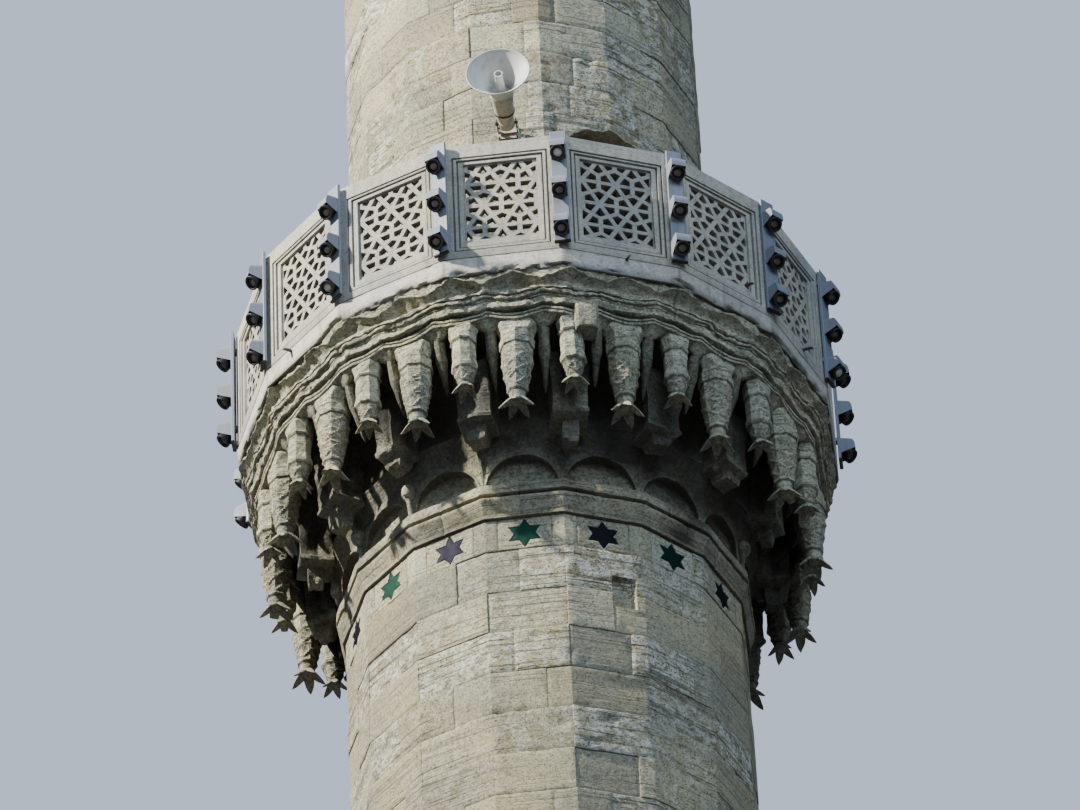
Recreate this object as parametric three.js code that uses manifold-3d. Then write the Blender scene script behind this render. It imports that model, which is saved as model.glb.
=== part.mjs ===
// Gallery stage of a sixteen-sided stone minaret
//
// Lengths are millimetres, +Z is up, and the origin is the centre of the foot.
// The doorway onto the gallery faces -Y. Every course is a sixteen-sided ring, so most
// of the stage is worked out from one corner angle and a few radii and levels.

import * as THREE from 'three';
import { mergeVertices } from 'three/addons/utils/BufferGeometryUtils.js';
import Module from 'manifold-3d';

// Plan
const SIDES = 16;
const STEP = (2 * Math.PI) / SIDES;
const HALF = STEP / 2;
const JOINT = 0.3;
const PARAPET_RADIUS = 1900;
const UPPER_RADIUS = 1162;
const LOWER_RADIUS = 1244;
const BORE_RADIUS = 800;
const LANDING_RADIUS = 860;

// Levels, measured up from the foot
const MOULDING_LEVEL = 2810;
const NICHE_LEVEL = 3060;
const CONSOLE_LEVEL = 3480;
const PENDANT_LEVEL = 3960;
const CORNICE_LEVEL = 4040;
const FLOOR_LEVEL = 4300;
const WALK_LEVEL = 4420;
const COPING_LEVEL = 5404;
const TOP_LEVEL = 8600;

// Star pockets, one to a face below the moulding
const STAR_RADIUS = 117;
const STAR_DEPTH = 15;
const STAR_LEVEL = 2685;

// Niches over the moulding
const NICHE_RADIUS = 222;
const NICHE_SIDES = 16;
const NICHE_REACH = 400;
const NICHE_BITE = 22;
const SPRING_RADIUS = 1352;

// Hanging consoles and drops
const CONSOLE_RADIUS = 1440;
const CONSOLE_BACK = 1500;
const CONSOLE_REACH = 170;
const CONSOLE_LIP = 3380;
const STUB = { level: 3240, tip: 84, root: 118 };
const DROP_RADIUS = 1700;
const DROP_SIDES = 6;
const PETALS = 5;
const DROP_TURN = THREE.MathUtils.degToRad(1.6);
const LONG_DROP = { length: 590, width: 105, claw: 190 };
const SHORT_DROP = { length: 450, width: 80, claw: 150 };
const RIB = { width: 34, length: 420, radius: 1655, sink: 5 };
const SKIRT = { edge: 1735, face: 1766, rise: 30 };

// Parapet
const PANEL_APOTHEM = PARAPET_RADIUS * Math.cos(HALF);
const PANEL_THICK = 80;
const FRAME_WIDTH = 596;
const FRAME_HEIGHT = 812;
const FRAME_RECESS = 14;
const FRAME_LEVEL = 4887;
const WINDOW_WIDTH = 455;
const WINDOW_HEIGHT = 670;
const WINDOW_RECESS = 28;
const WINDOW_LEVEL = 4902;
const LATTICE_PITCH = 303;
const STRAP_WIDTH = 56;

// Light bars on the parapet's corners
const BAR_WIDTH = 100;
const BAR_DEPTH = 20;
const BAR_FOOT = 4447;
const BAR_LENGTH = 959;
const BAR_STANDOFF = 10;
const BAR_TURN = -HALF;
const SPACER = { width: 40, height: 30, offset: 30, sink: 4 };
const SPACER_LEVELS = [4620, 5290];
const LAMP_LEVELS = [4505, 4832, 5159];
const HOOD_WIDTH = 92;
const HOOD_SIDE = [[1, 0], [1, 128], [68, 122], [91, 104], [91, 35]];
const LAMP = { radius: 44, length: 62, sides: 6, out: 54, rise: 14 };
const LAMP_TILT = THREE.MathUtils.degToRad(45);

// Doorway onto the gallery
const DOOR_WIDTH = 750;
const DOOR_SPRING = 5900;
const DOOR_RISE = 400;
const DOOR_REACH = 1500;

// Horn loudspeaker
const HORN_ANGLE = -1.5 * STEP;
const HORN_LEVEL = 6190;
const HORN_MOUTH = 205;
const HORN_REACH = 560;
const HORN_THROAT = 410;
const BELL_WALL = 7;
const BRACKET = { plate: [150, 12, 120], bridge: [130, 8, 50], arm: [8, 120, 50], spread: 60.6 };
const BOLT = { radius: 8, length: 12, reach: 96, spread: 58.6 };

const wasm = await Module();
wasm.setup();

// Booleans on three.js geometries
function toSolid(geometry) {
  const bare = geometry.clone();
  bare.deleteAttribute('normal');
  bare.deleteAttribute('uv');
  const merged = mergeVertices(bare, 1e-3);
  return new wasm.Manifold(new wasm.Mesh({
    numProp: 3,
    vertProperties: new Float32Array(merged.attributes.position.array),
    triVerts: new Uint32Array(merged.index.array),
  }));
}

function toGeometry(solid) {
  const mesh = solid.getMesh();
  const geometry = new THREE.BufferGeometry();
  geometry.setAttribute('position', new THREE.BufferAttribute(mesh.vertProperties, 3));
  geometry.setIndex(new THREE.BufferAttribute(mesh.triVerts, 1));
  return geometry;
}

function join(geometries) {
  return geometries.map(toSolid).reduce((all, one) => all.add(one));
}

function cut(geometry, cutters) {
  return cutters.map(toSolid).reduce((rest, one) => rest.subtract(one), toSolid(geometry));
}

// Plan helpers: angles run round the axis from -Y towards +X
function planPoint(radius, angle) {
  return new THREE.Vector2(radius * Math.sin(angle), -radius * Math.cos(angle));
}

// Distance from the axis to a sixteen-sided outline whose corners lie at 1
function polygonReach(angle) {
  const fromMiddle = ((((angle % STEP) + STEP) % STEP) - HALF);
  return Math.cos(HALF) / Math.cos(fromMiddle);
}

function cornerPoints(radius, first = 0, count = SIDES) {
  return Array.from({ length: count }, (_, i) => planPoint(radius, (first + i) * STEP));
}

function prism(outline, bottom, top, hole) {
  const shape = new THREE.Shape(outline);
  if (hole) shape.holes.push(new THREE.Path(hole));
  const geometry = new THREE.ExtrudeGeometry(shape, { depth: top - bottom, bevelEnabled: false });
  return geometry.translate(0, 0, bottom);
}

// A profile of [radius, level] pairs carried round the axis, anticlockwise in section
function turned(profile, segments = SIDES) {
  const points = profile.map(([radius, level]) => new THREE.Vector2(radius, level));
  return new THREE.LatheGeometry([...points, points[0]], segments).rotateX(Math.PI / 2);
}

// A lathe form whose profile starts and ends on its own axis
function spindle(profile, segments) {
  const points = profile.map(([radius, level]) => new THREE.Vector2(radius, level));
  return new THREE.LatheGeometry(points, segments).rotateX(Math.PI / 2);
}

function box(width, depth, height) {
  return new THREE.BoxGeometry(width, depth, height);
}

// Carries a form built beside the axis, facing -Y, to its angle round the axis
function placeAt(geometry, radius, angle, level, turn = 0) {
  const spot = planPoint(radius, angle);
  return geometry.rotateZ(angle + turn).translate(spot.x, spot.y, level);
}

// Straight lengths of wall between two corners, with half a joint left at each end
function sectorOutline(outer, inner, first, last) {
  const ring = (radius) => {
    const points = cornerPoints(radius, first, last - first + 1);
    const end = points.length - 1;
    const pull = (from, to) => from.clone().add(to.clone().sub(from).setLength(JOINT / 2));
    points[0] = pull(points[0], points[1]);
    points[end] = pull(points[end], points[end - 1]);
    return points;
  };
  return [...ring(outer), ...ring(inner).reverse()];
}

// Lower shaft: four quarters, each with four star pockets
function starCutter(angle) {
  const points = Array.from({ length: 12 }, (_, i) => {
    const radius = i % 2 ? STAR_RADIUS / Math.sqrt(3) : STAR_RADIUS;
    return new THREE.Vector2(radius * Math.sin((i * Math.PI) / 6), radius * Math.cos((i * Math.PI) / 6));
  });
  const depth = 2 * STAR_DEPTH;
  const star = new THREE.ExtrudeGeometry(new THREE.Shape(points), { depth, bevelEnabled: false });
  star.translate(0, 0, -STAR_DEPTH).rotateX(Math.PI / 2);
  return placeAt(star, LOWER_RADIUS * Math.cos(HALF), angle, STAR_LEVEL);
}

function lowerShaftQuarter(quarter) {
  const first = quarter * (SIDES / 4);
  const last = first + SIDES / 4;
  const wall = prism(sectorOutline(LOWER_RADIUS, BORE_RADIUS, first, last), 0, MOULDING_LEVEL - JOINT);
  const stars = Array.from({ length: SIDES / 4 }, (_, i) => starCutter((first + i + 0.5) * STEP));
  return cut(wall, stars);
}

// Moulding course: cavetto, roll and fillet, as steps out from the shaft and up from its bed
const MOULDING_STEPS = [[0, 0], [6, 30], [20, 70], [44, 110], [54, 140], [48, 165], [26, 172], [26, 249.7]];

function mouldingCourse() {
  const face = MOULDING_STEPS.map(([out, rise]) => [LOWER_RADIUS + out, MOULDING_LEVEL + rise]);
  return toSolid(turned([...face, [BORE_RADIUS, NICHE_LEVEL - JOINT], [BORE_RADIUS, MOULDING_LEVEL]]));
}

// First tier: a flaring course cut by one round-headed niche to a face
const NICHE_STEPS = [[8, 0], [18, 90], [50, 230], [SPRING_RADIUS - LOWER_RADIUS, 360]];

function nicheCourse() {
  const face = NICHE_STEPS.map(([out, rise]) => [LOWER_RADIUS + out, NICHE_LEVEL + rise]);
  const top = CONSOLE_LEVEL - JOINT;
  const course = turned([...face, [SPRING_RADIUS, top], [BORE_RADIUS, top], [BORE_RADIUS, NICHE_LEVEL]]);
  const niches = Array.from({ length: SIDES }, (_, i) => {
    const niche = new THREE.CylinderGeometry(NICHE_RADIUS, NICHE_RADIUS, NICHE_REACH, NICHE_SIDES);
    niche.translate(0, -NICHE_REACH / 2, 0);
    return placeAt(niche, LOWER_RADIUS * Math.cos(HALF) - NICHE_BITE, (i + 0.5) * STEP, NICHE_LEVEL);
  });
  return cut(course, niches);
}

// Second tier: a ring with a squared console and a broken stub under it at every corner
const CONSOLE_TOP = CONSOLE_LEVEL + 380;
const SPRINGING = 120;

function consoleForm(angle) {
  const form = spindle([
    [0, STUB.level],
    [STUB.tip, STUB.level],
    [STUB.root, CONSOLE_LIP - JOINT],
    [CONSOLE_REACH * 0.9, CONSOLE_LIP],
    [CONSOLE_REACH, CONSOLE_TOP],
    [0, CONSOLE_TOP],
  ], 4);
  return placeAt(form.rotateZ(Math.PI / 4), CONSOLE_RADIUS, angle + DROP_TURN, 0);
}

function consoleCourse() {
  const ring = turned([
    [SPRING_RADIUS, CONSOLE_LEVEL],
    [CONSOLE_BACK, CONSOLE_LEVEL + SPRINGING],
    [CONSOLE_BACK, PENDANT_LEVEL - JOINT],
    [BORE_RADIUS, PENDANT_LEVEL - JOINT],
    [BORE_RADIUS, CONSOLE_LEVEL],
  ]);
  const consoles = Array.from({ length: SIDES }, (_, i) => consoleForm(i * STEP));
  const wallBehind = prism(cornerPoints(SPRING_RADIUS + JOINT), 0, CONSOLE_LEVEL);
  return join(consoles).subtract(toSolid(wallBehind)).add(toSolid(ring));
}

// One hanging drop: a tapering faceted body, a neck, and a flared five-pointed claw
function drop({ length, width, claw }, angle) {
  const body = spindle([
    [0, -length],
    [width * 0.4, -length],
    [width * 0.86, -length * 0.6],
    [width, -length * 0.25],
    [width * 0.94, 20],
    [0, 20],
  ], DROP_SIDES);
  const claws = spindle([
    [0, -length - claw * 0.35],
    [width * 0.86, -length - claw],
    [width * 0.36, -length + 20],
    [0, -length + 20],
  ], PETALS);
  const radius = DROP_RADIUS * polygonReach(angle);
  return [body, claws].map((form) => placeAt(form, radius, angle + DROP_TURN, PENDANT_LEVEL));
}

// A thin pointed rib between two drops
function rib(angle) {
  const form = new THREE.ConeGeometry(RIB.width, RIB.length, 4);
  form.rotateX(-Math.PI / 2).translate(0, 0, RIB.sink - RIB.length / 2);
  return placeAt(form, RIB.radius * polygonReach(angle), angle + DROP_TURN, PENDANT_LEVEL);
}

function pendantCourse() {
  const ring = turned([
    [SKIRT.edge, PENDANT_LEVEL],
    [SKIRT.face, PENDANT_LEVEL + SKIRT.rise],
    [SKIRT.face, CORNICE_LEVEL - JOINT],
    [BORE_RADIUS, CORNICE_LEVEL - JOINT],
    [BORE_RADIUS, PENDANT_LEVEL],
  ]);
  const forms = [];
  for (let i = 0; i < SIDES; i += 1) {
    forms.push(...drop(SHORT_DROP, i * STEP));
    forms.push(...drop(LONG_DROP, (i + 0.5) * STEP));
    forms.push(rib((i + 0.25) * STEP), rib((i + 0.75) * STEP));
  }
  return join([ring, ...forms]);
}

// Cornice: waved mouldings that dip over the drops, under a ridge that rises over them
const CORNICE_PROFILE = [
  { radius: 1766, rise: 0, wave: 0 },
  { radius: 1788, rise: 16, wave: 14 },
  { radius: 1796, rise: 56, wave: 16 },
  { radius: 1812, rise: 74, wave: 15 },
  { radius: 1828, rise: 108, wave: 12 },
  { radius: 1846, rise: 130, wave: 6 },
  { radius: 1864, rise: 196, wave: -28 },
  { radius: 1885, rise: 211, wave: -32 },
  { radius: 1850, rise: 259.7, wave: 0 },
];

function cornice() {
  const outer = CORNICE_PROFILE.map(({ radius, rise }) => [radius, CORNICE_LEVEL + rise]);
  const top = FLOOR_LEVEL - JOINT;
  const ring = turned([...outer, [BORE_RADIUS, top], [BORE_RADIUS, CORNICE_LEVEL]], 4 * SIDES);
  const position = ring.attributes.position;
  const point = new THREE.Vector3();
  for (let i = 0; i < position.count; i += 1) {
    point.fromBufferAttribute(position, i);
    const level = CORNICE_PROFILE.find(({ radius, rise }) => (
      Math.abs(Math.hypot(point.x, point.y) - radius) < 1 && Math.abs(point.z - CORNICE_LEVEL - rise) < 1
    ));
    const angle = Math.atan2(point.x, -point.y);
    const reach = polygonReach(angle + 1e-7);
    const lift = level ? level.wave * Math.cos(2 * SIDES * angle) : 0;
    position.setXYZ(i, point.x * reach, point.y * reach, point.z - lift);
  }
  return toSolid(ring);
}

// Floors
function galleryFloor() {
  return toSolid(prism(
    cornerPoints(PARAPET_RADIUS), FLOOR_LEVEL, WALK_LEVEL - JOINT, cornerPoints(LANDING_RADIUS).reverse(),
  ));
}

function landingFloor() {
  return toSolid(prism(cornerPoints(LANDING_RADIUS - JOINT), FLOOR_LEVEL, WALK_LEVEL - JOINT));
}

// Upper shaft: three lengths of wall from jamb to jamb, and the wall over the doorway
function doorOutline() {
  const half = DOOR_WIDTH / 2;
  const shape = new THREE.Shape();
  shape.moveTo(-half, WALK_LEVEL - 10);
  shape.lineTo(half, WALK_LEVEL - 10);
  shape.lineTo(half, DOOR_SPRING);
  shape.absellipse(0, DOOR_SPRING, half, DOOR_RISE, 0, Math.PI, false, 0);
  return shape;
}

function doorSlot(shape) {
  const slot = new THREE.ExtrudeGeometry(shape, { depth: DOOR_REACH, bevelEnabled: false, curveSegments: 8 });
  return slot.rotateX(Math.PI / 2);
}

function wallSlot(width) {
  const slot = box(width, DOOR_REACH, TOP_LEVEL);
  return slot.translate(0, -DOOR_REACH / 2, WALK_LEVEL + TOP_LEVEL / 2 - 20);
}

function upperShaftLength(first, last) {
  const outline = sectorOutline(UPPER_RADIUS, BORE_RADIUS, first, last);
  return cut(prism(outline, WALK_LEVEL, TOP_LEVEL), [wallSlot(DOOR_WIDTH)]);
}

function wallOverDoor() {
  const ring = prism(cornerPoints(UPPER_RADIUS), WALK_LEVEL, TOP_LEVEL, cornerPoints(BORE_RADIUS).reverse());
  const block = toSolid(ring).intersect(toSolid(wallSlot(DOOR_WIDTH - 2 * JOINT)));
  return block.subtract(toSolid(doorSlot(doorOutline())));
}

// Parapet panel: a mitred slab, a stepped frame and a pierced window of crossing straps
function strap(offset, tilt) {
  const bar = box(2 * WINDOW_HEIGHT, 4 * PANEL_THICK, STRAP_WIDTH);
  return bar.translate(0, 0, offset).rotateY(tilt).translate(0, 0, FRAME_LEVEL);
}

function windowHoles() {
  const row = (LATTICE_PITCH * Math.sqrt(3)) / 2;
  const straps = [];
  for (const tilt of [0, Math.PI / 3, -Math.PI / 3]) {
    for (let i = -2; i <= 2; i += 1) straps.push(strap((i + Math.cos(tilt) / 2) * row, tilt));
  }
  const opening = box(WINDOW_WIDTH, 4 * PANEL_THICK, WINDOW_HEIGHT).translate(0, 0, WINDOW_LEVEL);
  return cut(opening, straps);
}

function parapetPanel(holes) {
  const wide = PARAPET_RADIUS * Math.sin(HALF) - JOINT / 2;
  const narrow = wide - PANEL_THICK * Math.tan(HALF);
  const outline = [[-wide, 0], [wide, 0], [narrow, PANEL_THICK], [-narrow, PANEL_THICK]];
  const slab = prism(outline.map(([x, y]) => new THREE.Vector2(x, y)), WALK_LEVEL, COPING_LEVEL);
  const frame = box(FRAME_WIDTH, 2 * FRAME_RECESS, FRAME_HEIGHT).translate(0, 0, FRAME_LEVEL);
  const field = box(WINDOW_WIDTH, 2 * WINDOW_RECESS, WINDOW_HEIGHT).translate(0, 0, WINDOW_LEVEL);
  return cut(slab, [frame, field]).subtract(holes);
}

// Light bar: a steel strip on two spacers, flat to the panel beside it, with three hooded lamps
function lamp(level) {
  const side = new THREE.Shape(HOOD_SIDE.map(([out, rise]) => new THREE.Vector2(2 - BAR_DEPTH - out, rise)));
  const hood = new THREE.ExtrudeGeometry(side, { depth: HOOD_WIDTH, bevelEnabled: false });
  hood.rotateX(Math.PI / 2).rotateZ(Math.PI / 2).translate(-HOOD_WIDTH / 2, 0, level);
  const { radius, length, sides, out, rise } = LAMP;
  const body = new THREE.CylinderGeometry(radius, radius, length, sides).rotateX(Math.PI / 2);
  body.rotateX(LAMP_TILT).translate(0, -BAR_DEPTH - out, level + rise);
  return [hood, body];
}

function lightBar(angle) {
  const strip = box(BAR_WIDTH, BAR_DEPTH, BAR_LENGTH);
  strip.translate(0, -BAR_DEPTH / 2, BAR_FOOT + BAR_LENGTH / 2);
  const seat = BAR_STANDOFF * Math.cos(HALF) - JOINT;
  const { width, height, offset, sink } = SPACER;
  const spacers = SPACER_LEVELS.map((level) => (
    box(width, seat + sink, height).translate(-offset, (seat - sink) / 2, level)
  ));
  const forms = [strip, ...spacers, ...LAMP_LEVELS.flatMap(lamp)];
  const spot = PARAPET_RADIUS + BAR_STANDOFF;
  return join(forms.map((form) => placeAt(form, spot, angle, 0, BAR_TURN)));
}

// Horn loudspeaker on its bracket
const FACE_RADIUS = UPPER_RADIUS * Math.cos(HALF);

function hornForm(profile, segments) {
  const points = profile.map(([radius, reach]) => new THREE.Vector2(radius, -reach));
  const form = new THREE.LatheGeometry(points, segments);
  return placeAt(form, FACE_RADIUS, HORN_ANGLE, HORN_LEVEL);
}

// Horn profiles are pairs of girth and reach, measured out from the throat where one is named
function hornBell() {
  return toSolid(hornForm([
    [76, HORN_THROAT - 40],
    [76, HORN_THROAT],
    [110, HORN_THROAT + 60],
    [150, HORN_THROAT + 110],
    [HORN_MOUTH, HORN_REACH],
    [HORN_MOUTH - BELL_WALL, HORN_REACH],
    [150 - BELL_WALL, HORN_THROAT + 110],
    [110 - BELL_WALL, HORN_THROAT + 60],
    [76 - BELL_WALL, HORN_THROAT],
    [76 - BELL_WALL, HORN_THROAT - 40],
    [76, HORN_THROAT - 40],
  ].reverse(), 24));
}

function hornDriver() {
  return toSolid(hornForm([
    [0, 70],
    [52, 70],
    [52, 120],
    [74, HORN_THROAT - 41],
    [68, HORN_THROAT - 41],
    [68, HORN_THROAT - 20],
    [30, HORN_THROAT - 20],
    [24, HORN_REACH - 20],
    [0, HORN_REACH - 20],
  ].reverse(), 16));
}

function hornBracket() {
  const [, plateDepth] = BRACKET.plate;
  const plate = box(...BRACKET.plate).translate(0, -plateDepth / 2 - JOINT, 0);
  const bridge = box(...BRACKET.bridge).translate(0, -20, 0);
  const arms = [-1, 1].map((side) => box(...BRACKET.arm).translate(side * BRACKET.spread, -66, 0));
  const bolts = [-1, 1].map((side) => {
    const bolt = new THREE.CylinderGeometry(BOLT.radius, BOLT.radius, BOLT.length, 8).rotateZ(Math.PI / 2);
    return bolt.translate(side * BOLT.spread, -BOLT.reach, 0);
  });
  const forms = [plate, bridge, ...arms, ...bolts];
  return join(forms.map((form) => placeAt(form, FACE_RADIUS, HORN_ANGLE, HORN_LEVEL)));
}

// Finishes
function finish(color, roughness, metalness = 0) {
  return new THREE.MeshStandardMaterial({ color, roughness, metalness, flatShading: true });
}

const limestone = finish(0xb9b3a2, 0.9);
const carvedStone = finish(0x8e8d7c, 0.95);
const marble = finish(0xd6d5cc, 0.7);
const greySteel = finish(0x8c98a4, 0.45, 0.7);
const hornPaint = finish(0xcfd0cb, 0.5);
const fixingSteel = finish(0x6d6a64, 0.6, 0.8);

const stage = new THREE.Group();

function addPiece(name, solid, material) {
  const piece = new THREE.Mesh(toGeometry(solid), material);
  piece.name = name;
  stage.add(piece);
  return piece;
}

const QUARTERS = ['front_right', 'back_right', 'back_left', 'front_left'];
QUARTERS.forEach((quarter, i) => addPiece(`lower_shaft_${quarter}`, lowerShaftQuarter(i), limestone));
addPiece('moulding_course', mouldingCourse(), limestone);
addPiece('niche_course', nicheCourse(), carvedStone);
addPiece('console_course', consoleCourse(), carvedStone);
addPiece('pendant_course', pendantCourse(), carvedStone);
addPiece('cornice', cornice(), carvedStone);
addPiece('gallery_floor', galleryFloor(), marble);
addPiece('landing_floor', landingFloor(), limestone);

addPiece('upper_shaft_right', upperShaftLength(0, 6), limestone);
addPiece('upper_shaft_back', upperShaftLength(6, 10), limestone);
addPiece('upper_shaft_left', upperShaftLength(10, 16), limestone);
addPiece('upper_shaft_over_door', wallOverDoor(), limestone);

const panel = parapetPanel(windowHoles());
for (let i = 0; i < SIDES; i += 1) {
  const number = String(i + 1).padStart(2, '0');
  const piece = addPiece(`parapet_panel_${number}`, panel, marble);
  const spot = planPoint(PANEL_APOTHEM, (i + 0.5) * STEP);
  piece.rotation.z = (i + 0.5) * STEP;
  piece.position.set(spot.x, spot.y, 0);
  addPiece(`light_bar_${number}`, lightBar(i * STEP), greySteel);
}

addPiece('horn_bell', hornBell(), hornPaint);
addPiece('horn_driver', hornDriver(), hornPaint);
addPiece('horn_bracket', hornBracket(), fixingSteel);

export default stage;
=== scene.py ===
# %% [markdown]
# # The gallery stage of a stone minaret
#
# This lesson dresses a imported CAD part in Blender. The part is one length of a sixteen-sided
# tower: a hollow shaft, tiers of hanging stone carving, and a gallery with a pierced marble
# parapet. The CAD part gives the size and place of every piece. Here each piece gets the shape
# that the mason's chisel and the weather gave it. The frame is loaded first, because
# everything else is measured against it.

# %% Load the frame
import math
import bpy
import numpy as np
from mathutils import Matrix, Vector
from mathutils.geometry import tessellate_polygon


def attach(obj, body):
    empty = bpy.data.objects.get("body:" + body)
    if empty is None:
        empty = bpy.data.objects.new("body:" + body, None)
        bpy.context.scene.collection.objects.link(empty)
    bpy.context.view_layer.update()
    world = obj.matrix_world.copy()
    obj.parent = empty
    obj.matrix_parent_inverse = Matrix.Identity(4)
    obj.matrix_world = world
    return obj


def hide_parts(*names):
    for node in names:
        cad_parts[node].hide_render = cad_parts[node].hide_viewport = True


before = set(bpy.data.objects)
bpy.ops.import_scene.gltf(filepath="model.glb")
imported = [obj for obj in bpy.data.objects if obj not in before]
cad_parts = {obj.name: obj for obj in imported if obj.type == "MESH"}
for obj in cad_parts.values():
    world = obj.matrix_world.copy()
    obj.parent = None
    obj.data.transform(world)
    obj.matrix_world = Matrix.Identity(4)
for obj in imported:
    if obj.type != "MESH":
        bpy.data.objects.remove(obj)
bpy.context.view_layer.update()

# %% [markdown]
# ## The few sizes that drive the rest
#
# The plan is a regular polygon with sixteen sides, so one angle and a few corner radii fix
# nearly every point. Angle 0 looks out of the doorway, along -Y, and angles grow towards +X.

# %% Sizes and levels, in metres
SIDES = 16
STEP = 2 * math.pi / SIDES
HALF = STEP / 2
LOWER_RADIUS, UPPER_RADIUS, PARAPET_RADIUS, BORE_RADIUS = 1.244, 1.162, 1.900, 0.800
MOULDING, NICHE, CONSOLE, PENDANT, CORNICE = 2.810, 3.060, 3.480, 3.960, 4.040
SLAB, WALK, TOP = 4.300, 4.420, 8.600
DOOR_HALF, DOOR_SPRING, DOOR_RISE = 0.375, 5.900, 0.400
DROP_RADIUS, DROP_TURN = 1.700, math.radians(1.6)
GAP = 0.0004
print("gallery floor at", SLAB, "top at", TOP)

# %% [markdown]
# ## Looking up from the ground
#
# The photograph was taken from far below with a long lens, so verticals hardly converge and
# the undersides show. The camera therefore stands about thirty metres under the part's foot.
# A floor there would hide everything, so the floor's material is opaque from above and clear
# from below.

# %% Camera
REACH, CLIMB, ROLL, ASIDE = 49.77, math.radians(43.28), math.radians(-2.65), math.radians(-28.87)
FOCUS_PIXELS, WIDTH_PIXELS, SENSOR, FURTHEST = 7909.0, 1080, 36.0, 400
SHIFT_RIGHT, SHIFT_UP = 0.0245, 0.4240

# Three directions of the view before it is turned about the tower. It climbs from the ground,
# so up leans back by the same angle.
right = np.array([1.0, 0.0, 0.0])
up = np.array([0.0, -math.sin(CLIMB), math.cos(CLIMB)])
into = np.array([0.0, math.cos(CLIMB), math.sin(CLIMB)])
eye = np.array([0.0, 0.0, SLAB]) + SHIFT_RIGHT * right + SHIFT_UP * up - REACH * into
across = math.cos(ROLL) * right + math.sin(ROLL) * up
upright = math.cos(ROLL) * up - math.sin(ROLL) * right
view = Matrix(np.column_stack([across, upright, -into]).tolist()).to_4x4()
view.translation = Vector(eye.tolist())
lens = bpy.data.cameras.new("camera")
lens.sensor_width = SENSOR
lens.lens = SENSOR * FOCUS_PIXELS / WIDTH_PIXELS
lens.clip_end = FURTHEST
camera = bpy.data.objects.new("camera", lens)
camera.matrix_world = Matrix.Rotation(ASIDE, 4, "Z") @ view
bpy.context.scene.collection.objects.link(camera)
bpy.context.scene.camera = camera
print("camera at", [round(value, 2) for value in camera.matrix_world.translation])

# %% [markdown]
# ## Light
#
# One slightly warm light stands in for the sun, high on the left, and a broad cool one stands
# in for the open sky. A dim world fills the shade, so the undersides of the carving stay dark
# as they do on the tower, while the background itself is left pale. A sun lamp would do too,
# but an area light's size sets how soft the shadows' edges are.

# %% Lights and world
LOOK_AT = Vector((0, 0, 4.2))
LIGHTS = (  # name, angle and climb in degrees, reach, size, power, colour
    ("key_light", -92, 36, 22.0, 0.7, 16500, (1.0, 0.945, 0.855)),
    ("sky_light", -8, 30, 30.0, 22.0, 6200, (0.64, 0.82, 1.06)),
)
WORLD_COLOUR, WORLD_FILL, WORLD_SHOWN = (0.72, 0.83, 1.04, 1), 0.15, 0.85


def add_light(name, angle, climb, reach, size, power, colour):
    """An area light that looks at the gallery. Its place is the gallery's, plus the reach along
    the direction that an angle round the tower and a climb above the level give."""
    light = bpy.data.lights.new(name, "AREA")
    light.energy, light.size, light.color = power, size, colour
    angle, climb = math.radians(angle), math.radians(climb)
    away = Vector((math.sin(angle) * math.cos(climb), -math.cos(angle) * math.cos(climb), math.sin(climb)))
    turned = away.to_track_quat("Z", "Y").to_matrix().to_4x4()
    lamp = bpy.data.objects.new(name, light)
    lamp.matrix_world = Matrix.Translation(LOOK_AT + away * reach) @ turned
    bpy.context.scene.collection.objects.link(lamp)


for values in LIGHTS:
    add_light(*values)
world = bpy.data.worlds.new("world")
world.use_nodes = True
sky = world.node_tree.nodes["Background"]
sky.inputs["Color"].default_value = WORLD_COLOUR
seen = world.node_tree.nodes.new("ShaderNodeLightPath").outputs["Is Camera Ray"]
strength = world.node_tree.nodes.new("ShaderNodeMapRange")
strength.inputs[3].default_value, strength.inputs[4].default_value = WORLD_FILL, WORLD_SHOWN
world.node_tree.links.new(seen, strength.inputs[0])
world.node_tree.links.new(strength.outputs[0], sky.inputs["Strength"])
bpy.context.scene.world = world

# %% [markdown]
# ## Building surfaces with numpy
#
# A surface is a grid of points, worked out as whole arrays. Each shape is a small bundle: its
# points, the faces that join them, and a few values per point that the materials read later,
# such as how worn a block is. A helper turns the bundle into a Blender mesh in one go.

# %% Places on the tower


def circle(count):
    """Even turns round a full circle, from 0 up to one step short of the whole."""
    return np.linspace(0, 2 * math.pi, count, endpoint=False)


def sixteen(angle):
    """Distance from the axis to a sixteen-sided outline whose corners lie at 1: the cosine of
    half a side over the cosine of the angle measured from that side's middle."""
    return math.cos(HALF) / np.cos(np.mod(angle, STEP) - HALF)


def place(radius, angle, level):
    """Points round the axis: x is the radius times the sine of the angle, y is minus the
    radius times its cosine, z is the level."""
    radius, angle, level = np.broadcast_arrays(radius, angle, level)
    return np.stack([radius * np.sin(angle), -radius * np.cos(angle), level], axis=-1)


def beside(angle, sideways, out, level):
    """Points given by their place on a face that looks out at an angle: sideways to the right
    as seen from outside, out from the axis, and the level."""
    sideways, out, level = np.broadcast_arrays(sideways, out, level)
    return np.stack([out * math.sin(angle) + sideways * math.cos(angle),
                     sideways * math.sin(angle) - out * math.cos(angle), level], axis=-1)


def bulge(points, relief, radius=1.0):
    """Moves points away from the axis: x and y grow by the relief over the radius."""
    points[..., :2] *= (1 + relief / radius)[..., None]


print("a face's middle lies at", round(float(sixteen(HALF)), 4), "of its corners' radius")

# %% Grids and shapes


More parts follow.
